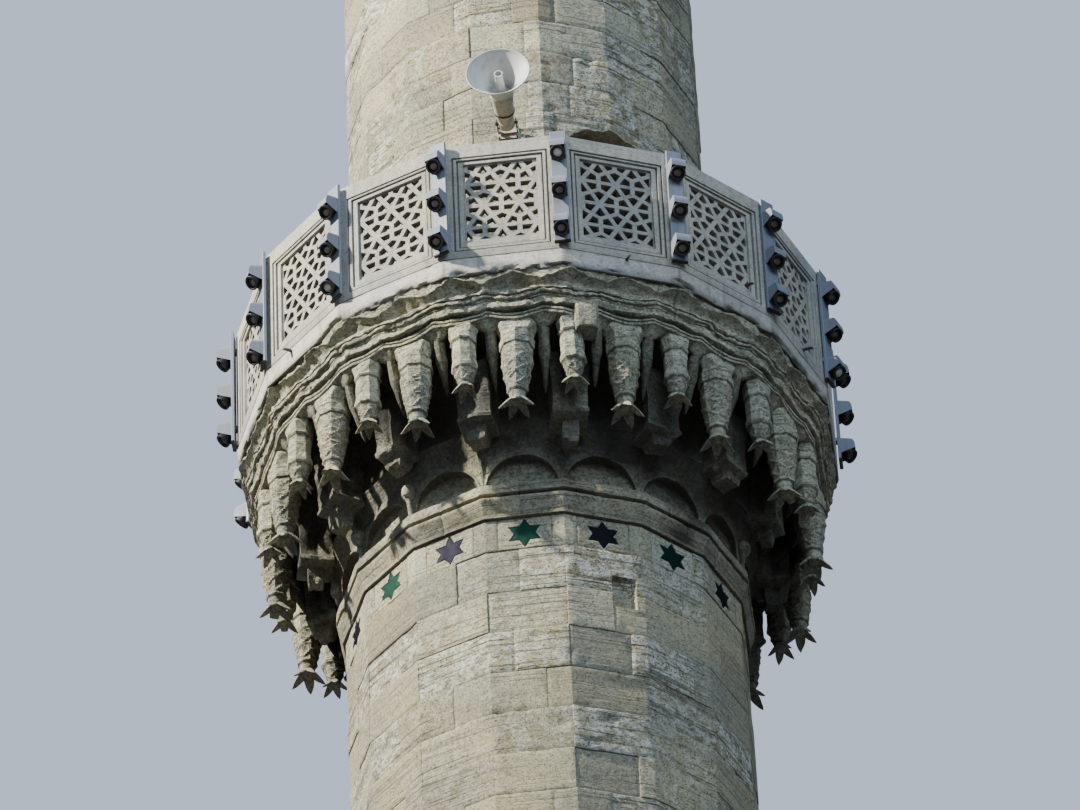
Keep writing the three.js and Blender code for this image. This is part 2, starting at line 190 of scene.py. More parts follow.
def grid_quads(rows, columns, ring=False, loop=False):
    """Quads between the neighbours of a grid numbered row by row. With ring the last column
    joins the first, and with loop the last row joins the first."""
    row = np.arange(rows if loop else rows - 1)[:, None]
    column = np.arange(columns if ring else columns - 1)[None, :]
    above, right_of = (row + 1) % rows, (column + 1) % columns
    corners = (row * columns + column, row * columns + right_of, above * columns + right_of, above * columns + column)
    return np.stack(np.broadcast_arrays(*corners), axis=-1).reshape(-1, 4)


def form(points, faces, paint=0, **values):
    """A shape: a grid of points, faces as a list of index arrays with one array for each
    number of corners, a material number, and named values, each spread over the grid."""
    grid = points.shape[:-1]
    return {
        "points": points.reshape(-1, 3),
        "faces": faces,
        "paints": [np.full(len(face), paint) for face in faces],
        "values": {name: np.broadcast_to(np.asarray(value, float), grid).reshape(-1) for name, value in values.items()},
    }


def outward(shape):
    """Turns a closed shape's faces to point out. Its volume is a sixth of the sum, over all
    triangles, of the first corner's dot product with the cross product of the other two. If
    that comes out below nothing, every face runs the wrong way round."""
    points, volume = shape["points"] - shape["points"].mean(axis=0), 0.0
    for face in shape["faces"]:
        for k in range(1, face.shape[1] - 1):
            first, second, third = (points[face[:, corner]] for corner in (0, k, k + 1))
            volume += np.einsum("ij,ij->", first, np.cross(second, third))
    if volume < 0:
        shape["faces"] = [face[:, ::-1] for face in shape["faces"]]
    return shape


def together(forms):
    """One shape from many. The points follow one another, and each shape's faces count on
    from the points that come before it. A value that a shape lacks is nought on it."""
    starts = np.cumsum([0] + [len(f["points"]) for f in forms])
    names = sorted({name for f in forms for name in f["values"]})
    return {
        "points": np.concatenate([f["points"] for f in forms]),
        "faces": [face + start for f, start in zip(forms, starts) for face in f["faces"]],
        "paints": [paint for f in forms for paint in f["paints"]],
        "values": {name: np.concatenate([f["values"].get(name, np.zeros(len(f["points"]))) for f in forms])
                   for name in names},
    }


print("a grid of 3 by 4 points has", len(grid_quads(3, 4)), "quads")

# %% From a shape to an object
SMOOTH_BELOW = 35


def make_mesh(name, shape, sharp=SMOOTH_BELOW):
    """Puts a shape into a new mesh with foreach_set, and marks as sharp every edge whose
    faces meet at more than the given angle, so that the rest can be shaded smooth."""
    mesh = bpy.data.meshes.new(name)
    sizes = np.concatenate([np.full(len(face), face.shape[1]) for face in shape["faces"]])
    corners = np.concatenate([face.ravel() for face in shape["faces"]]).astype(np.int32)
    mesh.vertices.add(len(shape["points"]))
    mesh.vertices.foreach_set("co", shape["points"].astype(np.float32).ravel())
    mesh.loops.add(len(corners))
    mesh.loops.foreach_set("vertex_index", corners)
    mesh.polygons.add(len(sizes))
    mesh.polygons.foreach_set("loop_start", (np.cumsum(sizes) - sizes).astype(np.int32))
    mesh.polygons.foreach_set("material_index", np.concatenate(shape["paints"]).astype(np.int32))
    mesh.update(calc_edges=True)
    for key, value in shape["values"].items():
        mesh.attributes.new(key, "FLOAT", "POINT").data.foreach_set("value", value.astype(np.float32))
    mesh.shade_smooth()
    mesh.set_sharp_from_angle(angle=math.radians(sharp))
    return mesh


def add_piece(name, forms, materials, nodes, sharp=SMOOTH_BELOW):
    """Makes one object of the forms. It rides on the part's only body, takes the given materials,
    and stands for the named CAD nodes, which it hides."""
    shape = together(forms)
    made = bpy.data.objects.new(name, make_mesh(name, shape, sharp))
    for material in materials:
        made.data.materials.append(material)
    bpy.context.scene.collection.objects.link(made)
    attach(made, "root")
    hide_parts(*nodes)
    print(name, "has", sum(len(face) * (face.shape[1] - 2) for face in shape["faces"]), "triangles")


# %% [markdown]
# ## Steady noise
#
# Weathered stone is irregular, but the script must give the same stone each time it runs. So
# the noise comes from a fixed rule: each cell of a lattice has its own number, and points in
# between take a smooth mix of the eight cells around them.

# %% Noise


def cell_number(x, y, z, seed):
    """A steady number from 0 to 1 for each whole-number cell: the three counts are multiplied
    by large odd numbers, mixed bit by bit, and scaled down."""
    mixed = (x * 73856093) ^ (y * 19349663) ^ (z * 83492791) ^ (seed * 40503 + 12345)
    mixed = (mixed ^ (mixed >> 13)) * 1274126177
    return ((mixed ^ (mixed >> 16)) & 0xFFFFF) / 0xFFFFF


def soft_noise(points, size, seed=0):
    """Value noise from -1 to 1. Each point takes the numbers of the eight lattice corners
    around it, weighted by how near it lies to each, with the weights eased at both ends."""
    scaled = points / np.asarray(size, float)
    cell = np.floor(scaled).astype(np.int64)
    part = scaled - cell
    part = part * part * (3 - 2 * part)
    total = np.zeros(points.shape[:-1])
    for corner in np.ndindex(2, 2, 2):
        weight = np.prod(np.where(np.array(corner), part, 1 - part), axis=-1)
        total += weight * cell_number(*np.moveaxis(cell + np.array(corner), -1, 0), seed)
    return total * 2 - 1


def rough_noise(points, size, octaves=3, seed=0):
    """Noise at several sizes: each turn halves the size and the strength and adds it on."""
    size = np.asarray(size, float)
    turns = (soft_noise(points, size / 2**turn, seed + 31 * turn) / 2**turn for turn in range(octaves))
    return sum(turns) / 1.5


def ease(value, low, high):
    """0 below low, 1 above high, and a smooth step in between."""
    part = np.clip((value - low) / (high - low), 0, 1)
    return part * part * (3 - 2 * part)


def near(value, centre, width):
    """1 where a value meets the centre, fading to both sides: e to the power of minus the
    square of the distance over the width."""
    return np.exp(-(((value - centre) / width) ** 2))


print("noise at three places:", soft_noise(np.arange(9.0).reshape(3, 3) / 4, 1.0).round(2))

# %% [markdown]
# ## Materials
#
# Every stone here shares the same weathering: broad blotches, bedding furrows that run level,
# fine grain, and pits, with furrows and pits darkened partly as grime and partly as painted
# shade. It also lays the soot and painted shade that the mesh asks for. That is one node group
# with its own inputs, placed in each stone's material. A group puts out only colours and
# values, and the shader stays in the material.

# %% Small node helpers


def put(tree, kind, inputs=None, **settings):
    """Adds a node. Each input is given a plain value, or is joined to another node's output."""
    node = tree.nodes.new(kind)
    for key, value in settings.items():
        setattr(node, key, value)
    for key, value in (inputs or {}).items():
        if isinstance(value, bpy.types.NodeSocket):
            tree.links.new(value, node.inputs[key])
        else:
            node.inputs[key].default_value = value
    return node


def calculate(tree, operation, first, second, clamp=False):
    """One sum on two values."""
    return put(tree, "ShaderNodeMath", {0: first, 1: second}, operation=operation, use_clamp=clamp).outputs[0]


def times(tree, first, second, clamp=False):
    """One value times another."""
    return calculate(tree, "MULTIPLY", first, second, clamp)


def blend(tree, share, first, second, mode="MIX"):
    """Mixes two colours by a share from 0 to 1."""
    return put(tree, "ShaderNodeMix", {0: share, 6: first, 7: second}, data_type="RGBA", blend_type=mode).outputs[2]


def ramp(tree, value, stops):
    """Turns a value into a colour along a list of places and colours."""
    node = put(tree, "ShaderNodeValToRGB", {0: value})
    elements = node.color_ramp.elements
    while len(elements) < len(stops):
        elements.new(0.5)
    for element, (where, colour) in zip(elements, stops):
        element.position, element.color = where, (*colour, 1)
    return node.outputs[0]


def window(tree, value, low, high, start=0.0, end=1.0):
    """Carries a value's range from low to high over to a range from start to end, and stops
    there."""
    return put(tree, "ShaderNodeMapRange", {0: value, 1: low, 2: high, 3: start, 4: end}).outputs[0]


def noise(tree, position, scale, detail=3.0, roughness=0.55):
    """The value of a noise texture at a position."""
    inputs = {"Vector": position, "Scale": scale, "Detail": detail, "Roughness": roughness}
    return put(tree, "ShaderNodeTexNoise", inputs).outputs[0]


def stretched(tree, position, scale):
    """A position with each axis scaled by its own number."""
    return put(tree, "ShaderNodeVectorMath", {0: position, 1: scale}, operation="MULTIPLY").outputs[0]


print("node helpers ready")

# %% [markdown]
# ### Weathering
#
# Rain opens the softer beds of limestone into level furrows, and shells and grit leave pits.
# Both are drawn from noise that is squeezed or stretched in height. An image could show the
# same, but noise has no edge and no seam, and each block can turn its own share up or down.

# %% The weathering that all the stones share
# The furrow and pit colours darken those hollows, partly as grime and partly as painted shade in them.
WARM, FURROW, GRAIN = (0.66, 0.61, 0.52, 1), (0.15, 0.135, 0.10, 1), (0.34, 0.32, 0.25, 1)
# The soot colour is laid on both as soot and as painted shade, where the mesh says the stone lies in shadow.
PIT, SOOT_AND_SHADE_COLOUR = (0.08, 0.072, 0.053, 1), (0.022, 0.020, 0.017, 1)


def make_weathering():
    """Blotches come from broad noise, bedding from noise squeezed in height, and grain from
    fine noise. Pits are the largest of three: level hollows on worn stone, small specks and
    round holes. Furrows and pits are darkened, partly as grime and partly as painted shade.
    The height adds the grain and takes the furrows and pits away. Last, soot and painted
    shade darken the stone by the share the mesh gives."""
    group = bpy.data.node_groups.new("stone weathering", "ShaderNodeTree")
    taken = {"Position": "Vector", "Colour": "Color", "Bedding": "Float", "Pits": "Float", "Soot": "Float"}
    for way, sockets in (("INPUT", taken), ("OUTPUT", {"Colour": "Color", "Roughness": "Float", "Height": "Float"})):
        for name, kind in sockets.items():
            group.interface.new_socket(name, in_out=way, socket_type="NodeSocket" + kind)
    given = group.nodes.new("NodeGroupInput").outputs
    position = given["Position"]
    blotch = noise(group, position, 1.9, 4.0)
    bedding = noise(group, stretched(group, position, (0.42, 0.42, 17.0)), 2.6, 3.0, 0.5)
    worn = window(group, noise(group, stretched(group, position, (0.6, 0.6, 1.5)), 2.1, 2.0), 0.38, 0.56)
    grain = noise(group, position, 46.0, 4.0, 0.65)
    hollow = window(group, noise(group, stretched(group, position, (1.0, 1.0, 2.4)), 17.0, 4.0, 0.6), 0.40, 0.34)
    hollow = times(group, hollow, window(group, given["Pits"], 0.55, 1.0))
    speck = window(group, noise(group, position, 96.0, 2.0), 0.40, 0.33)
    hole = window(group, noise(group, stretched(group, position, (1.0, 1.0, 1.9)), 33.0, 3.0, 0.55), 0.35, 0.31)
    small = calculate(group, "MAXIMUM", speck, hole)
    pits = times(group, calculate(group, "MAXIMUM", hollow, small), given["Pits"])
    furrow = times(group, times(group, window(group, bedding, 0.445, 0.380), given["Bedding"]), worn)
    colour = blend(group, window(group, blotch, 0.35, 0.65, 0.0, 0.7), given["Colour"], WARM, "OVERLAY")
    colour = blend(group, times(group, furrow, 0.70), colour, FURROW)
    rougher = window(group, given["Pits"], 0.0, 0.6, 0.2, 1.0)
    colour = blend(group, times(group, window(group, grain, 0.38, 0.60, 0.50, 0.0), rougher), colour, GRAIN, "MULTIPLY")
    marks = times(group, calculate(group, "MAXIMUM", times(group, hollow, 0.45), small), given["Pits"])
    colour = blend(group, times(group, marks, 0.80), colour, PIT)
    # Soot and painted shade: the dark colour goes over the stone by the share the mesh carries.
    soot_and_shade_share = times(group, given["Soot"], window(group, blotch, 0.30, 0.62, 1.1, 0.75), True)
    height = calculate(group, "ADD", times(group, grain, 0.16), times(group, furrow, -0.60))
    put(group, "NodeGroupOutput", {"Colour": blend(group, soot_and_shade_share, colour, SOOT_AND_SHADE_COLOUR),
                                   "Roughness": window(group, grain, 0.2, 0.8, 0.98, 0.80),
                                   "Height": calculate(group, "SUBTRACT", height, times(group, pits, 0.9))})
    return group


weathering = make_weathering()
print("the weathering group has", len(weathering.nodes), "nodes")

# %% [markdown]
# ### The stones
#
# The shaft is pale limestone whose blocks differ in tone and wear. The hanging carving is the
# same stone under green-grey growth and soot, and the parapet is whiter marble. Tone, wear,
# joint, cavity and soot are values that the meshes carry at each point. Cavity and soot also
# carry painted shade: dark in the hollows, under the tiers and on the side away from the light.

# %% What every material starts and ends with


def shaded(name):
    """A new material with its node tree, its Principled shader and the object's coordinates."""
    material = bpy.data.materials.new(name)
    material.use_nodes = True
    tree = material.node_tree
    position = put(tree, "ShaderNodeTexCoord").outputs["Object"]
    return material, tree, tree.nodes["Principled BSDF"], position


def carried(tree, name):
    """A value that the mesh carries at each point."""
    return put(tree, "ShaderNodeAttribute", attribute_name=name).outputs["Fac"]


def finish_stone(tree, shader, position, colour, bedding, pits, soot, depth, share, dark):
    """Sends a stone's colour through the shared weathering and into the shader, with a bump of
    the given depth. The dark colour is laid over the weathering by a share: on plain blocks it
    is the joints, and on carved stone and marble it is painted shade in the cavities and
    grooves, with their joints."""
    inputs = {"Position": position, "Colour": colour, "Bedding": bedding, "Pits": pits, "Soot": soot}
    stone = put(tree, "ShaderNodeGroup", inputs, node_tree=weathering).outputs
    bump = put(tree, "ShaderNodeBump", {"Height": stone["Height"], "Distance": depth, "Strength": 1.0})
    tree.links.new(blend(tree, share, stone["Colour"], dark), shader.inputs["Base Color"])
    tree.links.new(stone["Roughness"], shader.inputs["Roughness"])
    tree.links.new(bump.outputs[0], shader.inputs["Normal"])
    shader.inputs["Specular IOR Level"].default_value = 0.25


print("every stone passes through:", weathering.name)

# %% Limestone, carved limestone and marble
LIMESTONE_TONES = (
    (0.00, (0.240, 0.236, 0.172)), (0.20, (0.320, 0.300, 0.208)), (0.40, (0.300, 0.296, 0.230)),
    (0.60, (0.420, 0.402, 0.276)), (0.80, (0.395, 0.374, 0.268)), (1.00, (0.485, 0.488, 0.380)),
)
# The cavity and groove colours are painted shade in hollows and grooves; the joint colour is the joints' own.
JOINT_DARK, CAVITY_SHADE, GROOVE_SHADE = (0.13, 0.11, 0.08, 1), (0.035, 0.031, 0.024, 1), (0.075, 0.068, 0.055, 1)


def make_limestone():
    """Each block's tone picks a colour from the list, worn blocks turn paler and rougher, and
    the joints are darkened last, strongly in some places and hardly at all in others."""
    material, tree, shader, position = shaded("limestone ashlar")
    tone, wear, joint, soot = (carried(tree, name) for name in ("tone", "wear", "joint", "soot"))
    pale = times(tree, wear, window(tree, noise(tree, position, 13.0, 6.0, 0.7), 0.43, 0.57))
    colour = blend(tree, pale, ramp(tree, tone, LIMESTONE_TONES), (0.64, 0.65, 0.575, 1))
    bedding = calculate(tree, "ADD", times(tree, wear, 0.85), 0.22)
    pits = calculate(tree, "ADD", times(tree, wear, 0.60), 0.42)
    thin = times(tree, joint, window(tree, noise(tree, position, 3.0, 4.0), 0.42, 0.66, 0.02, 0.45))
    finish_stone(tree, shader, position, colour, bedding, pits, soot, 0.021, thin, JOINT_DARK)
    return material


def make_carved_stone():
    """Limestone under growth: green-grey in patches and paler on the raised parts. Cavities
    are darkened as painted shade, and soot with painted shade deepens towards the sheltered inside."""
    material, tree, shader, position = shaded("carved limestone")
    cavity, soot = carried(tree, "cavity"), carried(tree, "soot")
    patch = window(tree, noise(tree, position, 3.2, 5.0), 0.38, 0.62)
    colour = blend(tree, patch, (0.50, 0.495, 0.385, 1), (0.36, 0.375, 0.29, 1))
    pale = window(tree, noise(tree, position, 11.0, 4.0), 0.46, 0.66, 0.0, 0.7)
    colour = blend(tree, pale, colour, (0.63, 0.62, 0.50, 1))
    fleck = window(tree, noise(tree, position, 38.0, 5.0, 0.65), 0.40, 0.54, 0.45, 0.0)
    colour = blend(tree, fleck, colour, (0.17, 0.17, 0.125, 1))
    # Cavities darkened as painted shade.
    deep = times(tree, cavity, 0.88, True)
    finish_stone(tree, shader, position, colour, 0.20, 0.70, soot, 0.030, deep, CAVITY_SHADE)
    return material


def make_marble():
    """White marble gone grey: soft grey clouds, whiter where the mesh says it is worn, with
    faint runs of rain, dark specks, painted shade in its grooves and holes, and soot and
    painted shade where the mesh says so."""
    material, tree, shader, position = shaded("weathered marble")
    cavity, soot = carried(tree, "cavity"), carried(tree, "soot")
    cloud = window(tree, noise(tree, position, 2.4, 5.0), 0.35, 0.68)
    colour = blend(tree, cloud, (0.52, 0.51, 0.455, 1), (0.375, 0.385, 0.36, 1))
    colour = blend(tree, times(tree, carried(tree, "wear"), 0.78), colour, (0.68, 0.675, 0.62, 1))
    runs = noise(tree, stretched(tree, position, (9.0, 9.0, 1.1)), 2.0, 5.0, 0.6)
    colour = blend(tree, window(tree, runs, 0.50, 0.72, 0.0, 0.55), colour, (0.25, 0.245, 0.22, 1))
    speck = window(tree, noise(tree, position, 30.0, 4.0), 0.58, 0.70, 0.0, 0.5)
    colour = blend(tree, speck, colour, (0.21, 0.19, 0.15, 1))
    # Grooves and holes darkened as painted shade.
    groove_shade = times(tree, cavity, 0.85, True)
    finish_stone(tree, shader, position, colour, 0.15, 0.30, soot, 0.005, groove_shade, GROOVE_SHADE)
    return material


limestone, carved_stone, marble = make_limestone(), make_carved_stone(), make_marble()
print("stones:", limestone.name, "/", carved_stone.name, "/", marble.name)

# %% [markdown]
# ### Paint, glaze, iron and glass
#
# The fittings are painted metal that has dulled in the weather. A smooth paint still shows
# streaks and dust, so its colour and roughness vary a little over the surface. The same rule
# serves the stars' glaze and the old iron, with other colours and another shine.

# %% Other materials
DIRT = (0.16, 0.14, 0.11)


def make_coat(name, colour, dirt, roughness, metallic=0.0, amount=0.5, bump=0.0006, shine=0.5):
    """A coat of paint or glaze: its colour, with dirt where two noises overlap, one of them
    drawn out downwards like a run of rain, and roughness that follows the dirt."""
    material, tree, shader, position = shaded(name)
    runs = noise(tree, stretched(tree, position, (14.0, 14.0, 1.6)), 2.2, 4.0)
    spots = noise(tree, position, 34.0, 4.0)
    share = times(tree, window(tree, runs, 0.42, 0.68), window(tree, spots, 0.35, 0.65, 0.2, 1.0))
    share = times(tree, share, amount, True)
    dulled = window(tree, share, 0.0, 1.0, roughness, min(1.0, roughness + 0.35))
    shape = put(tree, "ShaderNodeBump", {"Height": spots, "Distance": bump, "Strength": 1.0})
    tree.links.new(blend(tree, share, (*colour, 1), (*dirt, 1)), shader.inputs["Base Color"])
    tree.links.new(dulled, shader.inputs["Roughness"])
    tree.links.new(shape.outputs[0], shader.inputs["Normal"])
    shader.inputs["Metallic"].default_value = metallic
    shader.inputs["Specular IOR Level"].default_value = shine
    return material


grey_paint = make_coat("blue-grey paint", (0.215, 0.245, 0.295), DIRT, 0.52, 0.1, 0.45, shine=0.3)
pale_paint = make_coat("pale grey paint", (0.23, 0.255, 0.30), DIRT, 0.55, amount=0.4, shine=0.2)
lamp_black = make_coat("black plastic", (0.006, 0.006, 0.007), (0.02, 0.02, 0.02), 0.55, amount=0.1, shine=0.25)
lamp_glass = make_coat("clouded lens", (0.014, 0.015, 0.017), (0.05, 0.05, 0.05), 0.24, 0.0, 0.2, 0.0002, 0.35)
pale_lens = make_coat("frosted lens", (0.62, 0.61, 0.57), DIRT, 0.30, amount=0.3)
horn_paint = make_coat("horn paint", (0.62, 0.63, 0.60), (0.24, 0.21, 0.16), 0.42, amount=0.35)
horn_dirty = make_coat("dirty horn paint", (0.50, 0.475, 0.40), (0.22, 0.19, 0.14), 0.55, amount=0.9)
iron = make_coat("old iron", (0.055, 0.050, 0.046), (0.12, 0.075, 0.045), 0.62, 0.6, 0.6)
# The fourth glaze is the green glaze darkened as painted shade, for stars on the shaded side.
green_glaze, purple_glaze, shaded_green_glaze, dark_glaze = (
    make_coat(name, colour, dirt, 0.60, amount=share, shine=0.06)
    for name, colour, dirt, share in (
        ("green glaze", (0.006, 0.052, 0.032), (0.02, 0.03, 0.02), 0.35),
        ("purple glaze", (0.016, 0.014, 0.032), (0.02, 0.02, 0.02), 0.40),
        ("green glaze in painted shade", (0.003, 0.016, 0.013), (0.01, 0.015, 0.01), 0.35),
        ("dark glaze", (0.004, 0.004, 0.008), (0.01, 0.01, 0.01), 0.30),
    )
)
print(len(bpy.data.materials), "materials so far, those of the CAD nodes among them")

# %% [markdown]
# ## The floor
#
# A pale floor catches the part's shadow. Seen from below it has to vanish, because this
# camera looks up through it, so its back face is transparent. The real tower stands far above
# the ground, so the floor throws no light back up at the carving either.

# %% Floor
FLOOR_RADIUS, FLOOR_LEVEL, FLOOR_CORNERS, FLOOR_COLOUR = 30.0, -0.002, 64, (0.62, 0.61, 0.59, 1)


def floor_paint():
    """Matt and pale from above, and clear from below and to light that has bounced."""
    material = bpy.data.materials.new("floor")
    material.use_nodes = True
    tree = material.node_tree
    plain = put(tree, "ShaderNodeBsdfDiffuse", {"Color": FLOOR_COLOUR})
    clear = put(tree, "ShaderNodeBsdfTransparent")
    back = put(tree, "ShaderNodeNewGeometry").outputs["Backfacing"]
    bounced = put(tree, "ShaderNodeLightPath").outputs["Is Diffuse Ray"]
    hidden = calculate(tree, "MAXIMUM", back, bounced)
    mixed = put(tree, "ShaderNodeMixShader", {0: hidden, 1: plain.outputs[0], 2: clear.outputs[0]})
    tree.links.new(mixed.outputs[0], tree.nodes["Material Output"].inputs["Surface"])
    return material


disc = form(place(FLOOR_RADIUS, circle(FLOOR_CORNERS), FLOOR_LEVEL), [np.arange(FLOOR_CORNERS)[None, :]])
floor = bpy.data.objects.new("floor", make_mesh("floor", disc))
floor.data.materials.append(floor_paint())
bpy.context.scene.collection.objects.link(floor)
print("floor disc,", 2 * FLOOR_RADIUS, "m across")

# %% [markdown]
# ## The shaft's ashlar
#
# The tower is built of limestone blocks in level courses. Each course here is one closed shell:
# a grid of points on the outside, a plain bore behind, and ends where the shell stops. Blocks
# are told apart by a slightly different offset, tone and wear, and by the joint sunk between
# them. That takes far fewer faces than hundreds of separate blocks, and nothing can show through.

# %% Shells, lofts and the outline of the tower
CELL, FIRST_LINE, SECOND_LINE = 0.021, 0.003, 0.009


def shell(points, **values):
    """A length of wall. The rows run up the outside and down the inside, so the last row joins
    the first, and a flat face closes the first and the last column."""
    rows, columns = points.shape[:2]
    start = np.arange(rows) * columns
    faces = [grid_quads(rows, columns, loop=True), start[None, :], (start + columns - 1)[None, ::-1]]
    return outward(form(points, faces, **values))


def loft(points, paint=0, **values):
    """A closed form through rows of rings, each running anticlockwise seen from the last
    row's side, with a flat face on the first and the last ring."""
    rows, columns = points.shape[:2]
    last = (rows - 1) * columns + np.arange(columns)
    faces = [grid_quads(rows, columns, ring=True), np.arange(columns)[None, ::-1], last[None, :]]
    return outward(form(points, faces, paint, **values))


def along(distance, radius):
    """Angle round the axis of a point at a distance along the outline from corner 0: the
    whole sides passed, plus the angle whose tangent is the offset from the side's middle over
    the side's distance from the axis."""
    side = 2 * radius * math.sin(HALF)
    count = np.floor(distance / side + 1e-9)
    return count * STEP + HALF + np.arctan((distance - (count + 0.5) * side) / (radius * math.cos(HALF)))


def cuts(breaks):
    """Positions for grid lines: even steps between neighbouring breaks, and one closer line on
    each side of a break, where a joint dips."""
    lines = []
    for start, end in zip(breaks[:-1], breaks[1:]):
        steps = max(1, round((end - start - 2 * SECOND_LINE) / CELL))
        even = np.linspace(start + SECOND_LINE, end - SECOND_LINE, steps + 1)
        lines += [[start, start + FIRST_LINE], even, [end - FIRST_LINE]]
    return np.concatenate(lines + [[breaks[-1]]])


print("half a metre of wall has", len(cuts([0.0, 0.5])), "grid lines")

# %% Where blocks end
SHORTEST, SPREAD, ROOM_LEFT, SPLIT_OVER = 0.27, 0.38, 0.72, 0.42
CATCH, LEAST, CORNER_CLEAR = 0.085, 0.2, 0.025


def block_ends(start, end, side, course):
    """Where the blocks of a course end: steady lengths between 0.27 and 0.65 m, with an end
    that falls near a corner of the tower moved onto it."""
    ends = [start]
    while end - ends[-1] > ROOM_LEFT:
        spot = ends[-1] + SHORTEST + SPREAD * cell_number(len(ends) - 1, course, 7, 3)
        corner = round(spot / side) * side
        ends.append(corner if abs(spot - corner) < CATCH and corner - ends[-1] > LEAST else spot)
    if end - ends[-1] > SPLIT_OVER:
        ends.append((ends[-1] + end) / 2)
    return np.array(ends + [end])


def course_lines(start, end, side, ends):
    """Grid lines along a course, with breaks at its blocks' ends and at the tower's corners. A
    corner that all but meets a block's end is left out."""
    corners = np.arange(math.ceil(start / side - 1e-6), math.floor(end / side + 1e-6) + 1) * side
    apart = np.abs(corners[:, None] - ends).min(1) > CORNER_CLEAR
    return cuts(np.sort(np.concatenate([ends, corners[apart]])))


print("block ends of the lowest course:", block_ends(0.0, 2.0, 2 * LOWER_RADIUS * math.sin(HALF), 0).round(2))

# %% The stone's relief
POCKET_SIDES, POCKET_LEVELS, POCKET_DEPTH = (-0.205, -0.050), (2.115, 2.360), 0.030


def closer(lines, edges):
    """Grid lines with more of them close to the given edges."""
    extra = [edge + step for edge in edges for step in (-0.004, 0.0, 0.006, 0.012)]
    ends = lines[0], lines[-1]
    kept = [line for line in lines if min(abs(line - spot) for spot in extra) > 0.0015 or line in ends]
    return np.unique(np.concatenate([kept, extra]))


def in_pocket(distance, level):
    """Share of the square recess at each point, 1 inside it with soft edges, and how far
    across the recess each grid line stands, from 0 to 1."""
    (left, end), (foot, head) = POCKET_SIDES, POCKET_LEVELS
    part, rise = (distance - left) / (end - left), (level - foot) / (head - foot)
    share = ease(part, 0.0, 0.08) * (1 - ease(part, 0.92, 1.0)) * ease(rise, 0.0, 0.05) * (1 - ease(rise, 0.95, 1.0))
    return share, part


def course_relief(outer, offset, wear, close):
    """How far the stone stands out, in metres, and how far its beds have opened, from 0 to 1.
    Relief is the sum of each block's own offset, a dip at the joints, furrows along the
    bedding, crumbled hollows that deepen with wear, and edges chipped here and there."""
    furrow = ease(rough_noise(outer, (1.10, 1.10, 0.048), 1, 11), 0.05, 0.60)
    furrow = furrow * ease(soft_noise(outer, (0.9, 0.9, 0.45), 13), -0.1, 0.5)
    hollow = ease(rough_noise(outer, (0.13, 0.13, 0.08), 3, 23), 0.30, 0.95)
    chipped = near(close, 0, 0.03) * ease(soft_noise(outer, 0.13, 41), 0.0, 0.9)
    relief = (offset - 0.5) * 0.011 - 0.003 * near(close, 0, 0.0055)
    return relief - 0.009 * furrow - hollow * (0.005 + 0.019 * wear) - 0.008 * chipped, furrow


print("the recess is", round(POCKET_SIDES[1] - POCKET_SIDES[0], 3), "m wide")

# %% One course of blocks
BORE_ROWS = np.array([  # share of the height, step up, step out, and distance from the bed
    (1.0, -GAP, 0.004, 0.0), (1.0, -0.008, 0.0, 0.009), (0.0, 0.008, 0.0, 0.009), (0.0, GAP, 0.004, 0.0),
])
# The bore inside the shaft is painted dark as shade.
FURTHEST_OUT, BORE_SHADE = 0.004, 0.85


